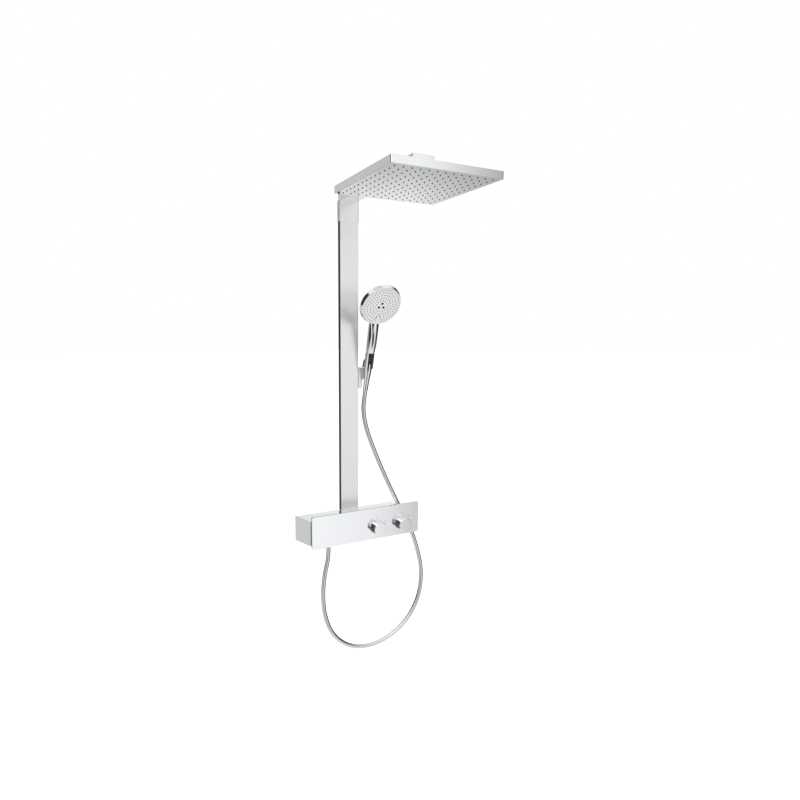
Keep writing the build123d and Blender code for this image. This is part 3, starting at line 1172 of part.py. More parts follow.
with BuildPart() as handset_shell:
    with BuildSketch(SPRAY_SIDE):
        with BuildLine():
            Polyline(
                (0, SPRAY_BACK_D),
                (0, SPRAY_FACE_D),
                (SPRAY_FACE_RADIUS + SPRAY_WALL, SPRAY_FACE_D),
                (SPRAY_RADIUS, SPRAY_FACE_D - SPRAY_RIM_HEIGHT),
                (SPRAY_RADIUS, 0),
            )
            ThreePointArc(
                (SPRAY_RADIUS, 0),
                (SPRAY_RADIUS * SPRAY_BULGE, SPRAY_BACK_D * SPRAY_BULGE),
                (0, SPRAY_BACK_D),
            )
        make_face()
    revolve(axis=Axis(SPRAY_CENTRE, SPRAY_AXIS))
    with BuildSketch(across(HANDLE_FOOT_POINT, HANDLE_AXIS)):
        Circle(HANDLE_FOOT_RADIUS)
    with BuildSketch(across(HANDLE_NECK_POINT, HANDLE_AXIS)):
        Circle(HANDLE_NECK_RADIUS)
    with BuildSketch(across(NECK_BEND_POINT, NECK_AXIS)):
        Ellipse(HANDLE_NECK_RADIUS + NECK_BEND_SIZE[0], HANDLE_NECK_RADIUS + NECK_BEND_SIZE[1])
    with BuildSketch(across(NECK_END_POINT, SPRAY_UP)):
        Ellipse(HANDLE_NECK_RADIUS + NECK_END_FLARE, HANDLE_NECK_RADIUS * NECK_END_FLATNESS)
    loft()
    with BuildSketch(across(point_along(SPRAY_CENTRE, SPRAY_AXIS, SPRAY_BACK_D / 2), SPRAY_AXIS)):
        Circle(SPRAY_INSIDE - SPRAY_POCKET_STEP)
    extrude(amount=SPRAY_FACE_D - SPRAY_BACK_D / 2, mode=Mode.SUBTRACT)
    with BuildSketch(across(point_along(SPRAY_CENTRE, SPRAY_AXIS, CHAMBER_D), SPRAY_AXIS)):
        Circle(SPRAY_INSIDE)
    extrude(amount=SPRAY_FACE_D - CHAMBER_D, mode=Mode.SUBTRACT)
    with BuildSketch(across(HANDLE_FOOT_POINT, HANDLE_AXIS)):
        Circle(CONNECTOR_SPIGOT)
    extrude(amount=HANDLE_LENGTH, mode=Mode.SUBTRACT)
handset_shell.part.label = "handset_shell"
export_step(handset_shell.part, "parts/handset_shell.step")

PLATE_PLANE = across(point_along(SPRAY_CENTRE, SPRAY_AXIS, PLATE_BACK_D), SPRAY_AXIS)
# in that plane the face's lower side lies towards minus Y
BUTTON_SPOT = (0, -BUTTON_DROP)
BUTTON_MARGIN = 2.5


def spray_spots():
    """The places of the small nozzles: rings, less those under the button."""
    spots = []
    for ring, count in SPRAY_NOZZLE_RINGS:
        for k in range(count):
            angle = radians(360.0 * k / count)
            x, y = ring * sin(angle), ring * cos(angle)
            near_x = abs(x - BUTTON_SPOT[0]) < BUTTON_WIDTH / 2 + BUTTON_MARGIN
            near_y = abs(y - BUTTON_SPOT[1]) < BUTTON_LENGTH / 2 + BUTTON_MARGIN
            if not (near_x and near_y):
                spots.append((x, y))
    return spots


SPRAY_SPOTS = spray_spots()
CENTRE_SPOTS = [
    (CENTRE_NOZZLE_RING * sin(radians(a)), CENTRE_NOZZLE_RING * cos(radians(a)))
    for a in (0, 120, 240)
]
with BuildPart() as handset_face:
    with BuildSketch(PLATE_PLANE):
        Circle(SPRAY_FACE_RADIUS)
        with Locations(*SPRAY_SPOTS):
            Circle(SPRAY_HOLE, mode=Mode.SUBTRACT)
        with Locations(*CENTRE_SPOTS):
            Circle(CENTRE_NOZZLE_RADIUS, mode=Mode.SUBTRACT)
        with Locations(BUTTON_SPOT):
            SlotOverall(BUTTON_LENGTH + BUTTON_PLAY, BUTTON_WIDTH + BUTTON_PLAY, 90, mode=Mode.SUBTRACT)
    extrude(amount=SPRAY_PLATE)
handset_face.part.label = "handset_face"
export_step(handset_face.part, "parts/handset_face.step")

SPRAY_MAT = 1.2
MAT_PLAY = 2.0
SPRAY_STAND = 0.8
MAT_PLANE = across(point_along(SPRAY_CENTRE, SPRAY_AXIS, PLATE_BACK_D - SPRAY_MAT), SPRAY_AXIS)
with BuildPart() as handset_nozzles:
    with BuildSketch(MAT_PLANE):
        Circle(SPRAY_FACE_RADIUS - MAT_PLAY)
        with Locations(*CENTRE_SPOTS):
            Circle(CENTRE_NOZZLE_RADIUS, mode=Mode.SUBTRACT)
        with Locations(BUTTON_SPOT):
            SlotOverall(BUTTON_LENGTH + BUTTON_PLAY, BUTTON_WIDTH + BUTTON_PLAY, 90, mode=Mode.SUBTRACT)
    extrude(amount=SPRAY_MAT)
    with BuildSketch(PLATE_PLANE):
        with Locations(*SPRAY_SPOTS):
            Circle(SPRAY_NOZZLE)
    extrude(amount=SPRAY_PLATE + SPRAY_STAND)
handset_nozzles.part.label = "handset_nozzles"
export_step(handset_nozzles.part, "parts/handset_nozzles.step")

CHAMBER_WALL = 4.0
CHAMBER_FLOOR = 2.0
CHAMBER_PLANE = across(point_along(SPRAY_CENTRE, SPRAY_AXIS, CHAMBER_D), SPRAY_AXIS)
with BuildPart() as handset_chamber:
    with BuildSketch(CHAMBER_PLANE):
        Circle(SPRAY_FACE_RADIUS)
        with Locations(BUTTON_SPOT):
            SlotOverall(BUTTON_LENGTH + BUTTON_PLAY, BUTTON_WIDTH + BUTTON_PLAY, 90, mode=Mode.SUBTRACT)
    extrude(amount=PLATE_BACK_D - SPRAY_MAT - CHAMBER_D)
    with BuildSketch(CHAMBER_PLANE):
        Circle(SPRAY_FACE_RADIUS - CHAMBER_WALL)
        with Locations(BUTTON_SPOT):
            SlotOverall(BUTTON_LENGTH + CHAMBER_WALL, BUTTON_WIDTH + CHAMBER_WALL, 90, mode=Mode.SUBTRACT)
    extrude(amount=PLATE_BACK_D - SPRAY_MAT - CHAMBER_D - CHAMBER_FLOOR, mode=Mode.SUBTRACT)
handset_chamber.part.label = "handset_chamber"
export_step(handset_chamber.part, "parts/handset_chamber.step")

CENTRE_NOZZLE_BORE = 0.45
with BuildPart() as centre_nozzles:
    with BuildSketch(MAT_PLANE):
        with Locations(*CENTRE_SPOTS):
            Circle(CENTRE_NOZZLE_RADIUS)
            Circle(CENTRE_NOZZLE_RADIUS * CENTRE_NOZZLE_BORE, mode=Mode.SUBTRACT)
    extrude(amount=SPRAY_MAT + SPRAY_PLATE + SPRAY_STAND)
centre_nozzles.part.label = "centre_nozzles"
export_step(centre_nozzles.part, "parts/centre_nozzles.step")

BUTTON_TRAVEL = 2.2
BUTTON_REST = 0.5
BUTTON_EDGE = 1.5
BUTTON_INNER_D = CHAMBER_D + BUTTON_TRAVEL + BUTTON_REST
with BuildPart() as select_button:
    with BuildSketch(across(point_along(SPRAY_CENTRE, SPRAY_AXIS, BUTTON_INNER_D), SPRAY_AXIS)):
        with Locations(BUTTON_SPOT):
            SlotOverall(BUTTON_LENGTH, BUTTON_WIDTH, 90)
    extrude(amount=SPRAY_FACE_D + BUTTON_STAND - BUTTON_INNER_D)
    fillet(select_button.faces().sort_by(Axis((0, 0, 0), SPRAY_AXIS))[-1].edges(), BUTTON_EDGE)
select_button.part.label = "select_button"
export_step(select_button.part, "parts/select_button.step")
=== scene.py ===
"""Looks of a wall-mounted rainfall shower column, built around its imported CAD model.

Lengths are in metres.
"""
import json
import math

import bpy
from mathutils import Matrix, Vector


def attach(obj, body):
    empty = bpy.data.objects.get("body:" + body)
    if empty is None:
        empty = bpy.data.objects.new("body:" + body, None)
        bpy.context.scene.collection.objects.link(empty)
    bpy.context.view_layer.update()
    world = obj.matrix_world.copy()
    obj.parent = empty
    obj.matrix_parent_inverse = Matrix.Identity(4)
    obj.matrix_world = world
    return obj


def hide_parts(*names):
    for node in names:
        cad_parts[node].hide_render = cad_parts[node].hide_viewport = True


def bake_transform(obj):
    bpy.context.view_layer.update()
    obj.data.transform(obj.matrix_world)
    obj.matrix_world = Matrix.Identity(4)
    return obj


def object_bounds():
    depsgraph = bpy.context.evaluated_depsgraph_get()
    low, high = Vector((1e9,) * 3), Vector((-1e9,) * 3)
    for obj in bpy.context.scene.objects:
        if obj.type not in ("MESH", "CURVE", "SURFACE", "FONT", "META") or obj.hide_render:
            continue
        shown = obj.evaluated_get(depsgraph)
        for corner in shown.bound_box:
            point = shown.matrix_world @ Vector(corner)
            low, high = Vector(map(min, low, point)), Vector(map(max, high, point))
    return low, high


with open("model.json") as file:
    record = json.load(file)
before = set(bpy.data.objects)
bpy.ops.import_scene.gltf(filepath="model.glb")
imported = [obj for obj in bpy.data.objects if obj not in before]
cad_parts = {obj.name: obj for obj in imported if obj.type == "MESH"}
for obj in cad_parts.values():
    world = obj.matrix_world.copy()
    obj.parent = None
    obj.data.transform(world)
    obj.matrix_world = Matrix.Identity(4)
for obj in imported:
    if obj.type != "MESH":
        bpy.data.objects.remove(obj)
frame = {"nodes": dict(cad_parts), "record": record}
cad_low, cad_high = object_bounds()
nodes = frame["nodes"]
scene = bpy.context.scene
SLOT_OF = {row["node"]: row["material_slot"] for row in frame["record"]["subparts"]}


def in_scene(name, data):
    """A new object that holds data, linked to the scene."""
    thing = bpy.data.objects.new(name, data)
    scene.collection.objects.link(thing)
    return thing


# ---------------------------------------------------------------- node helpers
def new_material(name, colour, metallic, roughness, **sockets):
    """A Principled material; sockets holds further uniform values by their lower-case names."""
    material = bpy.data.materials.new(name)
    material.use_nodes = True
    shader = material.node_tree.nodes["Principled BSDF"]
    shader.inputs["Base Color"].default_value = (*colour, 1)
    shader.inputs["Metallic"].default_value = metallic
    shader.inputs["Roughness"].default_value = roughness
    for key, value in sockets.items():
        shader.inputs[key.replace("_", " ").title().replace("Ior", "IOR")].default_value = value
    return material


def tree_of(material):
    tree = material.node_tree
    return tree, tree.nodes["Principled BSDF"]


def set_or_link(tree, socket, value):
    """Gives a colour socket a fixed colour, or links it to another node's output."""
    if isinstance(value, tuple):
        socket.default_value = (*value, 1)
    else:
        tree.links.new(value, socket)


def colour_mix(tree, factor, first, second):
    """A node that passes from the first colour to the second as factor runs from 0 to 1."""
    mix = tree.nodes.new("ShaderNodeMix")
    mix.data_type = "RGBA"
    tree.links.new(factor, mix.inputs["Factor"])
    set_or_link(tree, mix.inputs["A"], first)
    set_or_link(tree, mix.inputs["B"], second)
    return mix.outputs["Result"]


def place_vector(tree, scale):
    """The row-frame place of a point, stretched by scale on each axis."""
    place = tree.nodes.new("ShaderNodeTexCoord")
    mapping = tree.nodes.new("ShaderNodeMapping")
    mapping.inputs["Scale"].default_value = scale
    tree.links.new(place.outputs["Object"], mapping.inputs["Vector"])
    return mapping.outputs["Vector"]


def noise(tree, scale, detail=3.0, stretch=(1, 1, 1)):
    texture = tree.nodes.new("ShaderNodeTexNoise")
    texture.inputs["Scale"].default_value = scale
    texture.inputs["Detail"].default_value = detail
    tree.links.new(place_vector(tree, stretch), texture.inputs["Vector"])
    return texture.outputs["Fac"]


def spread(tree, value, low, high):
    """A 0 to 1 value spread between low and high."""
    ranged = tree.nodes.new("ShaderNodeMapRange")
    ranged.inputs["To Min"].default_value = low
    ranged.inputs["To Max"].default_value = high
    tree.links.new(value, ranged.inputs["Value"])
    return ranged.outputs["Result"]


def vary_roughness(material, low, high, scale, stretch=(1, 1, 1)):
    tree, shader = tree_of(material)
    grain = noise(tree, scale, stretch=stretch)
    tree.links.new(spread(tree, grain, low, high), shader.inputs["Roughness"])


def vary_colour(material, first, second, scale, stretch=(1, 1, 1)):
    tree, shader = tree_of(material)
    colour = colour_mix(tree, noise(tree, scale, stretch=stretch), first, second)
    tree.links.new(colour, shader.inputs["Base Color"])
    return colour


BEVEL_SAMPLES = 6


def add_bump(material, height, strength, distance, edge=0.0):
    """Relief from a height; edge is the radius to which sharp edges look rounded."""
    tree, shader = tree_of(material)
    bump = tree.nodes.new("ShaderNodeBump")
    if edge:
        round_over = tree.nodes.new("ShaderNodeBevel")
        round_over.samples = BEVEL_SAMPLES
        round_over.inputs["Radius"].default_value = edge
        tree.links.new(round_over.outputs["Normal"], bump.inputs["Normal"])
    bump.inputs["Strength"].default_value = strength
    bump.inputs["Distance"].default_value = distance
    tree.links.new(height, bump.inputs["Height"])
    tree.links.new(bump.outputs["Normal"], shader.inputs["Normal"])


def grain_bump(material, scale, strength, distance, stretch=(1, 1, 1), edge=0.0):
    tree = material.node_tree
    add_bump(material, noise(tree, scale, stretch=stretch), strength, distance, edge)


# ---------------------------------------------------------------- materials
DULL_SHARE = 0.97
GLASS_EDGE_TINT = (0.30, 0.42, 0.38)
# how far a normal faces the front: the tint starts at the first value and is full at the second
GLASS_EDGE_SPAN = (0.9, 0.4)


def chrome(name="chrome", colour=(0.90, 0.91, 0.92), rough=(0.03, 0.07), edge=0.0014):
    """Polished plate: a mirror with a very slight orange peel and a few duller spots."""
    material = new_material(name, colour, 1.0, rough[0])
    vary_colour(material, colour, tuple(c * DULL_SHARE for c in colour), 14)
    vary_roughness(material, *rough, 60)
    grain_bump(material, 90, 0.02, 0.0004, edge=edge)
    return material


def satin_aluminium():
    """Anodised extrusion: fine lines along its length."""
    material = new_material("satin_aluminium", (0.86, 0.86, 0.87), 1.0, 0.3)
    vary_colour(material, (0.89, 0.895, 0.885), (0.84, 0.845, 0.84), 500, (1, 1, 0.01))
    vary_roughness(material, 0.24, 0.36, 900, (1, 1, 0.01))
    grain_bump(material, 1400, 0.05, 0.0002, (1, 1, 0.01), edge=0.0006)
    return material


def rail_painted_shade():
    # Painted shade: the rail is coloured near-black to stand for the shade in its groove and on
    # its flank, with fine lines along its length.
    material = new_material("rail_painted_shade", (0.03, 0.03, 0.032), 0.6, 0.35)
    vary_colour(material, (0.022, 0.022, 0.024), (0.05, 0.05, 0.052), 300, (1, 1, 0.02))
    vary_roughness(material, 0.28, 0.45, 700, (1, 1, 0.02))
    grain_bump(material, 900, 0.05, 0.0002, (1, 1, 0.02))
    return material


def panel_glass():
    """Back-silvered toughened glass: a bright face and greenish cut edges."""
    material = new_material(
        "panel_glass", (0.9, 0.9, 0.92), 0.92, 0.08, coat_weight=1.0, coat_roughness=0.02
    )
    face = vary_colour(material, (0.91, 0.91, 0.93), (0.87, 0.87, 0.90), 6)
    tree, shader = tree_of(material)
    facing = tree.nodes.new("ShaderNodeNewGeometry")
    parts = tree.nodes.new("ShaderNodeSeparateXYZ")
    tree.links.new(facing.outputs["Normal"], parts.inputs["Vector"])
    turned = tree.nodes.new("ShaderNodeMath")
    turned.operation = "ABSOLUTE"
    tree.links.new(parts.outputs["Y"], turned.inputs[0])
    edge = tree.nodes.new("ShaderNodeMapRange")
    edge.inputs["From Min"].default_value = GLASS_EDGE_SPAN[0]
    edge.inputs["From Max"].default_value = GLASS_EDGE_SPAN[1]
    tree.links.new(turned.outputs[0], edge.inputs["Value"])
    tinted = colour_mix(tree, edge.outputs["Result"], face, GLASS_EDGE_TINT)
    tree.links.new(tinted, shader.inputs["Base Color"])
    vary_roughness(material, 0.05, 0.1, 8)
    grain_bump(material, 25, 0.02, 0.0004)
    return material


def machined(name, first, second, rough=(0.2, 0.34)):
    """Turned or drawn metal with fine tool marks and some tarnish."""
    material = new_material(name, first, 1.0, rough[0])
    vary_colour(material, first, second, 45)
    vary_roughness(material, *rough, 160)
    grain_bump(material, 900, 0.06, 0.0002, (0.3, 1, 0.3))
    return material


def brushed_steel():
    material = new_material("steel", (0.56, 0.57, 0.58), 1.0, 0.3)
    vary_colour(material, (0.60, 0.61, 0.62), (0.48, 0.49, 0.50), 200, (0.03, 1, 1))
    vary_roughness(material, 0.22, 0.42, 500, (0.03, 1, 1))
    grain_bump(material, 800, 0.08, 0.0002, (0.03, 1, 1))
    return material


def silicone(name, first, second):
    """Soft nozzle rubber: matt, with a little sheen and fine pores."""
    material = new_material(name, first, 0.0, 0.55, sheen_weight=0.15)
    vary_colour(material, first, second, 220)
    vary_roughness(material, 0.45, 0.68, 500)
    grain_bump(material, 2200, 0.12, 0.0001)
    return material


def moulded_plastic():
    material = new_material("dark_plastic", (0.012, 0.012, 0.014), 0.0, 0.4)
    vary_colour(material, (0.010, 0.010, 0.012), (0.028, 0.028, 0.03), 120)
    vary_roughness(material, 0.3, 0.5, 700)
    grain_bump(material, 1800, 0.15, 0.0001)
    return material


def hose_silver():
    """Metallic wrap below a clear skin; the ribs are in the mesh."""
    material = new_material(
        "hose_silver", (0.80, 0.81, 0.80), 1.0, 0.08, coat_weight=0.4, coat_roughness=0.03
    )
    vary_colour(material, (0.84, 0.85, 0.84), (0.74, 0.75, 0.745), 900)
    vary_roughness(material, 0.05, 0.12, 700)
    grain_bump(material, 1500, 0.05, 0.0001)
    return material


MATERIALS = {
    "chrome": chrome(),
    "chromed_plastic": chrome("chromed_plastic", (0.88, 0.89, 0.90), (0.04, 0.08), 0.0008),
    "satin_aluminium": satin_aluminium(),
    "hose_silver": hose_silver(),
    "panel_glass": panel_glass(),
    "brass": machined("brass", (0.70, 0.52, 0.24), (0.58, 0.42, 0.20)),
    "copper_pipe": machined("copper_pipe", (0.72, 0.40, 0.26), (0.60, 0.34, 0.24)),
    "steel": brushed_steel(),
    "dark_rubber": silicone("dark_rubber", (0.055, 0.058, 0.062), (0.11, 0.115, 0.12)),
    "dark_plastic": moulded_plastic(),
}
# nodes whose finish differs from the rest of their slot
SPECIAL = {
    # the column rail's near-black colour is painted shade for its shaded groove and flank
    "column_rail": rail_painted_shade(),
    "handset_nozzles": silicone("spray_rubber", (0.016, 0.017, 0.018), (0.03, 0.031, 0.033)),
    "centre_nozzles": silicone("centre_rubber", (0.012, 0.012, 0.013), (0.02, 0.02, 0.022)),
}


def dress(node):
    """Gives a CAD node its finish and its slot."""
    thing = nodes[node]
    thing.data.materials.clear()
    thing.data.materials.append(SPECIAL.get(node, MATERIALS[SLOT_OF[node]]))


for node in nodes:
    dress(node)

# ---------------------------------------------------------------- hose
HOSE_DIAMETER = 0.014
RIB_PITCH = 0.0024
RIB_DEPTH = 0.00028
RINGS_PER_RIB = 4
RING_POINTS = 24
CURVE_STEPS = 24
SPLINE_ORDER = 3
# where the hose is divided: past the loop's bottom, then at three heights on its way up
SKIPPED_SHARE = 8
LOOP_RIGHT_X = 0.20
RISE_START_Z = 0.065
NECK_START_Z = 0.245
LEAD_START_Z = 0.338
# the route of part.py, from the lower nut up to the hand shower's nut
HOSE_ROUTE = [
    (-0.087, -0.040, -0.064),
    (-0.087, -0.040, -0.102),
    (-0.101, -0.039, -0.155),
    (-0.107, -0.037, -0.225),
    (-0.100, -0.035, -0.299),
    (-0.073, -0.033, -0.371),
    (-0.020, -0.031, -0.424),
    (0.047, -0.029, -0.448),
    (0.121, -0.027, -0.444),
    (0.190, -0.025, -0.414),
    (0.243, -0.023, -0.362),
    (0.272, -0.021, -0.295),
    (0.278, -0.020, -0.222),
    (0.262, -0.019, -0.148),
    (0.236, -0.018, -0.070),
    (0.160, -0.0165, 0.073),
    (0.102, -0.015, 0.197),
    (0.062, -0.014, 0.296),
    (0.049, -0.013, 0.362),
    (0.054, -0.01328, 0.40652),
    (0.054, -0.020, 0.4306),
]


def smooth_line(points):
    """Points read from the NURBS spline that has these control points."""
    curve = bpy.data.curves.new("hose_route", "CURVE")
    curve.dimensions = "3D"
    curve.resolution_u = CURVE_STEPS
    spline = curve.splines.new("NURBS")
    spline.points.add(len(points) - 1)
    for point, spot in zip(spline.points, points):
        point.co = (*spot, 1)
    spline.order_u = SPLINE_ORDER
    spline.use_endpoint_u = True
    holder = bpy.data.objects.new("hose_route", curve)
    mesh = bpy.data.meshes.new_from_object(holder)
    line = [v.co.copy() for v in mesh.vertices]
    bpy.data.objects.remove(holder)
    return line


def even_stations(line, step):
    """Places along a line at equal steps, with the length run so far."""
    runs = [0.0]
    for a, b in zip(line, line[1:]):
        runs.append(runs[-1] + (b - a).length)
    count = round(runs[-1] / step)
    stations = []
    k = 0
    for i in range(count + 1):
        target = runs[-1] * i / count
        while k < len(line) - 2 and runs[k + 1] < target:
            k += 1
        share = (target - runs[k]) / max(runs[k + 1] - runs[k], 1e-12)
        stations.append(line[k].lerp(line[k + 1], min(share, 1.0)))
    return stations


def carried_frames(stations):
    """A side direction at each station, carried along the line without twist."""
    sides = []
    along = (stations[1] - stations[0]).normalized()
    side = along.orthogonal().normalized()
    for i, spot in enumerate(stations):
        ahead = stations[min(i + 1, len(stations) - 1)]
        behind = stations[max(i - 1, 0)]
        along = (ahead - behind).normalized()
        side = (side - along * side.dot(along)).normalized()
        sides.append((side, along.cross(side)))
    return sides


def tube_mesh(name, stations, sides, first_ring, radius):
    """A ribbed tube: its wrap rises and falls by RIB_DEPTH along a helix."""
    verts = []
    faces = []
    for i, (spot, (u, v)) in enumerate(zip(stations, sides)):
        for k in range(RING_POINTS):
            turn = 2 * math.pi * k / RING_POINTS
            phase = turn - 2 * math.pi * (first_ring + i) / RINGS_PER_RIB
            r = radius - RIB_DEPTH * (0.5 - 0.5 * math.cos(phase)) ** 2
            verts.append(spot + (u * math.cos(turn) + v * math.sin(turn)) * r)
    for i in range(len(stations) - 1):
        for k in range(RING_POINTS):
            a = i * RING_POINTS + k
            b = i * RING_POINTS + (k + 1) % RING_POINTS
            faces.append((a, b, b + RING_POINTS, a + RING_POINTS))
    faces.append(tuple(reversed(range(RING_POINTS))))
    faces.append(tuple(len(verts) - RING_POINTS + k for k in range(RING_POINTS)))
    mesh = bpy.data.meshes.new(name)
    mesh.from_pydata(verts, [], faces)
    for polygon in mesh.polygons:
        polygon.use_smooth = len(polygon.vertices) == 4
    thing = in_scene(name, mesh)
    mesh.materials.append(MATERIALS["hose_silver"])
    return thing


def build_hose():
    """The hose in four lengths, divided at the slider, the holder and the hand shower; the loop
    rides the root body and the rest stay fixed in the world.
    """
    stations = even_stations(smooth_line(HOSE_ROUTE), RIB_PITCH / RINGS_PER_RIB)
    sides = carried_frames(stations)
    count = len(stations)

    def ring_at(test, start):
        return next(i for i in range(start, count) if test(stations[i]))

    bottom = ring_at(lambda p: p.x > LOOP_RIGHT_X, count // SKIPPED_SHARE)
    rise = ring_at(lambda p: p.z > RISE_START_Z, bottom)
    neck = ring_at(lambda p: p.z > NECK_START_Z, rise)
    lead = ring_at(lambda p: p.z > LEAD_START_Z, neck)
    parts = [
        ("hose_loop", 0, rise, None),
        ("hose_rise", rise, neck, ("root", "slider")),
        ("hose_neck", neck, lead, ("slider", "holder")),
        ("hose_lead", lead, count - 1, ("holder", "hand_shower")),
    ]
    for name, first, last, pair in parts:
        path = stations[first : last + 1]
        piece = tube_mesh(name, path, sides[first : last + 1], first, HOSE_DIAMETER / 2)
        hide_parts("hose_tube")
        if pair:
            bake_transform(piece)
        else:
            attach(piece, "root")


build_hose()


# ---------------------------------------------------------------- printed marks
DIAL_CENTRES = ((0.068, -0.010), (0.159, -0.010))
MARK_TURNS = ((-68, 0, 61), (-68, 0, 52, 96))
MARK_RING = 0.0335
MARK_LENGTH = 0.0052
MARK_WIDTH = 0.0013
MARK_HEIGHT = 0.00006
MARK_END_POINTS = 5


def capsule(length, width):
    """The outline of a bar with round ends, lying along the second axis."""
    points = []
    for end in (1, -1):
        for k in range(MARK_END_POINTS + 1):
            turn = math.pi * k / MARK_END_POINTS
            across = math.cos(turn) * width / 2 * end
            along = (length - width) / 2 + math.sin(turn) * width / 2
            points.append((across, along * end))
    return points


def printed_marks():
    """Short printed bars round each dial, on the panel's face."""
    ink = new_material("mark_ink", (0.05, 0.052, 0.055), 0.0, 0.5)
    vary_colour(ink, (0.045, 0.047, 0.05), (0.07, 0.072, 0.075), 800)
    vary_roughness(ink, 0.4, 0.6, 900)
    grain_bump(ink, 3000, 0.1, 0.00005)
    panel = nodes["front_panel"]
    face_y = min((panel.matrix_world @ v.co).y for v in panel.data.vertices)
    verts = []
    faces = []
    for (x, z), turns in zip(DIAL_CENTRES, MARK_TURNS):
        for degrees in turns:
            a = math.radians(degrees)
            first = len(verts)
            outline = capsule(MARK_LENGTH, MARK_WIDTH)
            count = len(outline)
            for y in (face_y - MARK_HEIGHT, face_y + MARK_HEIGHT):
                for across, along in outline:
                    r = MARK_RING + along
                    px = x + r * math.sin(a) + across * math.cos(a)
                    pz = z + r * math.cos(a) - across * math.sin(a)
                    verts.append((px, y, pz))
            faces.append(tuple(first + k for k in range(count)))
            faces.append(tuple(first + count + k for k in reversed(range(count))))
            for k in range(count):
                n = (k + 1) % count
                faces.append((first + n, first + k, first + count + k, first + count + n))
    mesh = bpy.data.meshes.new("panel_marks")
    mesh.from_pydata(verts, [], faces)
    marks = in_scene("panel_marks", mesh)
    mesh.materials.append(ink)
    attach(marks, "root")


printed_marks()


# ---------------------------------------------------------------- stage, light and camera
FLOOR_HALF = 30
FLOOR_DROP = 0.12
FLOOR_GLOW = 0.5
KEY_PLACE = (-1.6, -2.2, 2.2)
KEY_AIM = (0, 0, 0.4)
KEY_SIZE = 1.6
KEY_POWER = 12
CAMERA_PLACE = (-0.744155, -1.612061, 0.621047)
CAMERA_TILT = 82.38
CAMERA_TURN = -26.01
CAMERA_LENS = 25.04
CAMERA_SHIFT = (0.0508, 0.0059)
SENSOR_WIDTH = 36


def pale_floor():
    mesh = bpy.data.meshes.new("floor")
    z = cad_low.z - FLOOR_DROP
    corners = [
        (-FLOOR_HALF, -FLOOR_HALF, z),
        (FLOOR_HALF, -FLOOR_HALF, z),
        (FLOOR_HALF, FLOOR_HALF, z),
        (-FLOOR_HALF, FLOOR_HALF, z),
    ]
    mesh.from_pydata(corners, [], [(0, 1, 2, 3)])
    floor = in_scene("floor", mesh)
    material = new_material("pale_floor", (0.9, 0.9, 0.9), 0.0, 0.8)
    _, shader = tree_of(material)
    shader.inputs["Emission Color"].default_value = (1, 1, 1, 1)
    shader.inputs["Emission Strength"].default_value = FLOOR_GLOW
    mesh.materials.append(material)
    floor.visible_glossy = False


# brightness of the studio round the object, level with it and below it, as
# (degrees from +Y towards +X, brightness)
STUDIO_HIGH = (
    (-180, 0.75),
    (-156, 0.90),
    (-150, 0.02),
    (-130, 0.02),
    (-124, 1.0),
    (-104, 1.0),
    (-98, 0.03),
    (-44, 0.03),
    (-36, 0.50),
    (-24, 0.60),
    (-16, 0.08),
    (2, 0.08),
    (12, 0.70),
    (24, 0.90),
    (31, 0.90),
    (37, 0.58),
    (47, 0.30),
    (56, 0.02),
    (118, 0.02),
    (128, 0.25),
    (139, 0.40),
    (144, 0.76),
    (147, 0.95),
    (152, 1.0),
    (165, 1.0),
    (180, 0.75),
)
STUDIO_LOW = (
    (-180, 0.60),
    (-174, 0.06),
    (-126, 0.06),
    (-116, 0.90),
    (-96, 0.90),
    (-88, 0.62),
    (-36, 0.66),
    (-20, 0.42),
    (0, 0.30),
    (30, 0.50),
    (60, 0.05),
    (118, 0.05),
    (128, 0.35),
    (139, 0.48),
    (147, 0.56),
    (152, 0.92),
    (158, 1.0),
    (168, 1.0),
    (174, 0.90),
    (180, 0.60),
)
SCREEN_TINT = (1, 1.008, 1.004)
LID_COLOUR = (0.97, 0.97, 0.98)
GROUND_COLOUR = (0.86, 0.86, 0.87)
# heights on the unit sphere over which one zone of the studio passes into the next
LOW_SPAN = (-0.20, -0.29)
LID_SPAN = (0.45, 0.75)
GROUND_SPAN = (-0.55, -0.80)


def ramp_by_azimuth(tree, share, stops):
    """The brightness round the object; share runs from 0 at -180 degrees to 1 at 180."""
    ramp = tree.nodes.new("ShaderNodeValToRGB")
    elements = ramp.color_ramp.elements
    for degrees, _ in stops[1:-1]:
        elements.new(degrees / 360 + 0.5)
    for element, (_, value) in zip(elements, stops):
        element.color = (*(value * tint for tint in SCREEN_TINT), 1)
    tree.links.new(share, ramp.inputs["Fac"])
    return ramp.outputs["Color"]


def by_height(tree, height, span, first, second):
    """Passes from one colour to another where height runs through span."""
    ranged = tree.nodes.new("ShaderNodeMapRange")
    ranged.interpolation_type = "SMOOTHSTEP"
    ranged.inputs["From Min"].default_value = span[0]
    ranged.inputs["From Max"].default_value = span[1]
    tree.links.new(height, ranged.inputs["Value"])
    return colour_mix(tree, ranged.outputs["Result"], first, second)


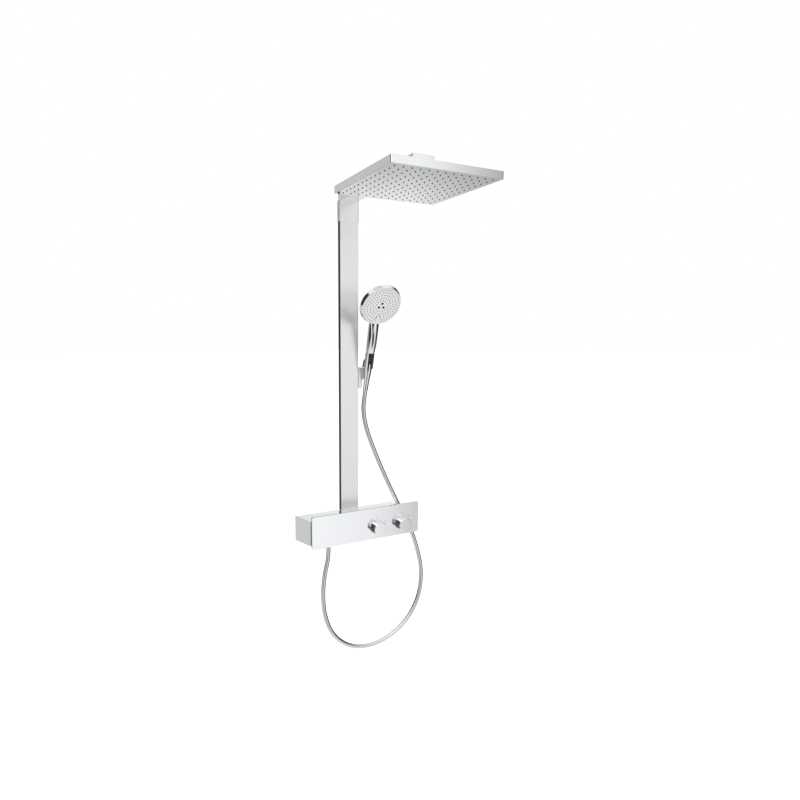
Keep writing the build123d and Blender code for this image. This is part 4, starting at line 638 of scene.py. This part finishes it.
def studio_world():
    """A white room with grey and black screens, as chrome is lit; the camera sees plain white."""
    world = bpy.data.worlds.new("studio")
    scene.world = world
    world.use_nodes = True
    tree = world.node_tree
    make = tree.nodes.new
    link = tree.links.new
    background = tree.nodes["Background"]
    place = make("ShaderNodeTexCoord")
    parts = make("ShaderNodeSeparateXYZ")
    link(place.outputs["Generated"], parts.inputs["Vector"])
    turn = make("ShaderNodeMath")
    turn.operation = "ARCTAN2"
    link(parts.outputs["X"], turn.inputs[0])
    link(parts.outputs["Y"], turn.inputs[1])
    share = make("ShaderNodeMapRange")
    share.inputs["From Min"].default_value = -math.pi
    share.inputs["From Max"].default_value = math.pi
    link(turn.outputs[0], share.inputs["Value"])
    high_ring = ramp_by_azimuth(tree, share.outputs["Result"], STUDIO_HIGH)
    low_ring = ramp_by_azimuth(tree, share.outputs["Result"], STUDIO_LOW)
    height = parts.outputs["Z"]
    round_room = by_height(tree, height, LOW_SPAN, high_ring, low_ring)
    lidded = by_height(tree, height, LID_SPAN, round_room, LID_COLOUR)
    grounded = by_height(tree, height, GROUND_SPAN, lidded, GROUND_COLOUR)
    rays = make("ShaderNodeLightPath")
    shown = colour_mix(tree, rays.outputs["Is Camera Ray"], grounded, (1, 1, 1))
    link(shown, background.inputs["Color"])
    background.inputs["Strength"].default_value = 1.0


def soft_light(name, place, aim, size, power):
    light = bpy.data.lights.new(name, "AREA")
    light.shape = "SQUARE"
    light.size = size
    light.energy = power
    lamp = in_scene(name, light)
    lamp.location = place
    lamp.rotation_euler = (Vector(aim) - Vector(place)).to_track_quat("-Z", "Y").to_euler()


def studio_camera():
    data = bpy.data.cameras.new("camera")
    data.lens = CAMERA_LENS
    data.sensor_width = SENSOR_WIDTH
    data.shift_x, data.shift_y = CAMERA_SHIFT
    camera = in_scene("camera", data)
    camera.location = CAMERA_PLACE
    camera.rotation_euler = (math.radians(CAMERA_TILT), 0, math.radians(CAMERA_TURN))
    scene.camera = camera


pale_floor()
studio_world()
soft_light("key", KEY_PLACE, KEY_AIM, KEY_SIZE, KEY_POWER)
studio_camera()
scene.view_settings.view_transform = "Standard"
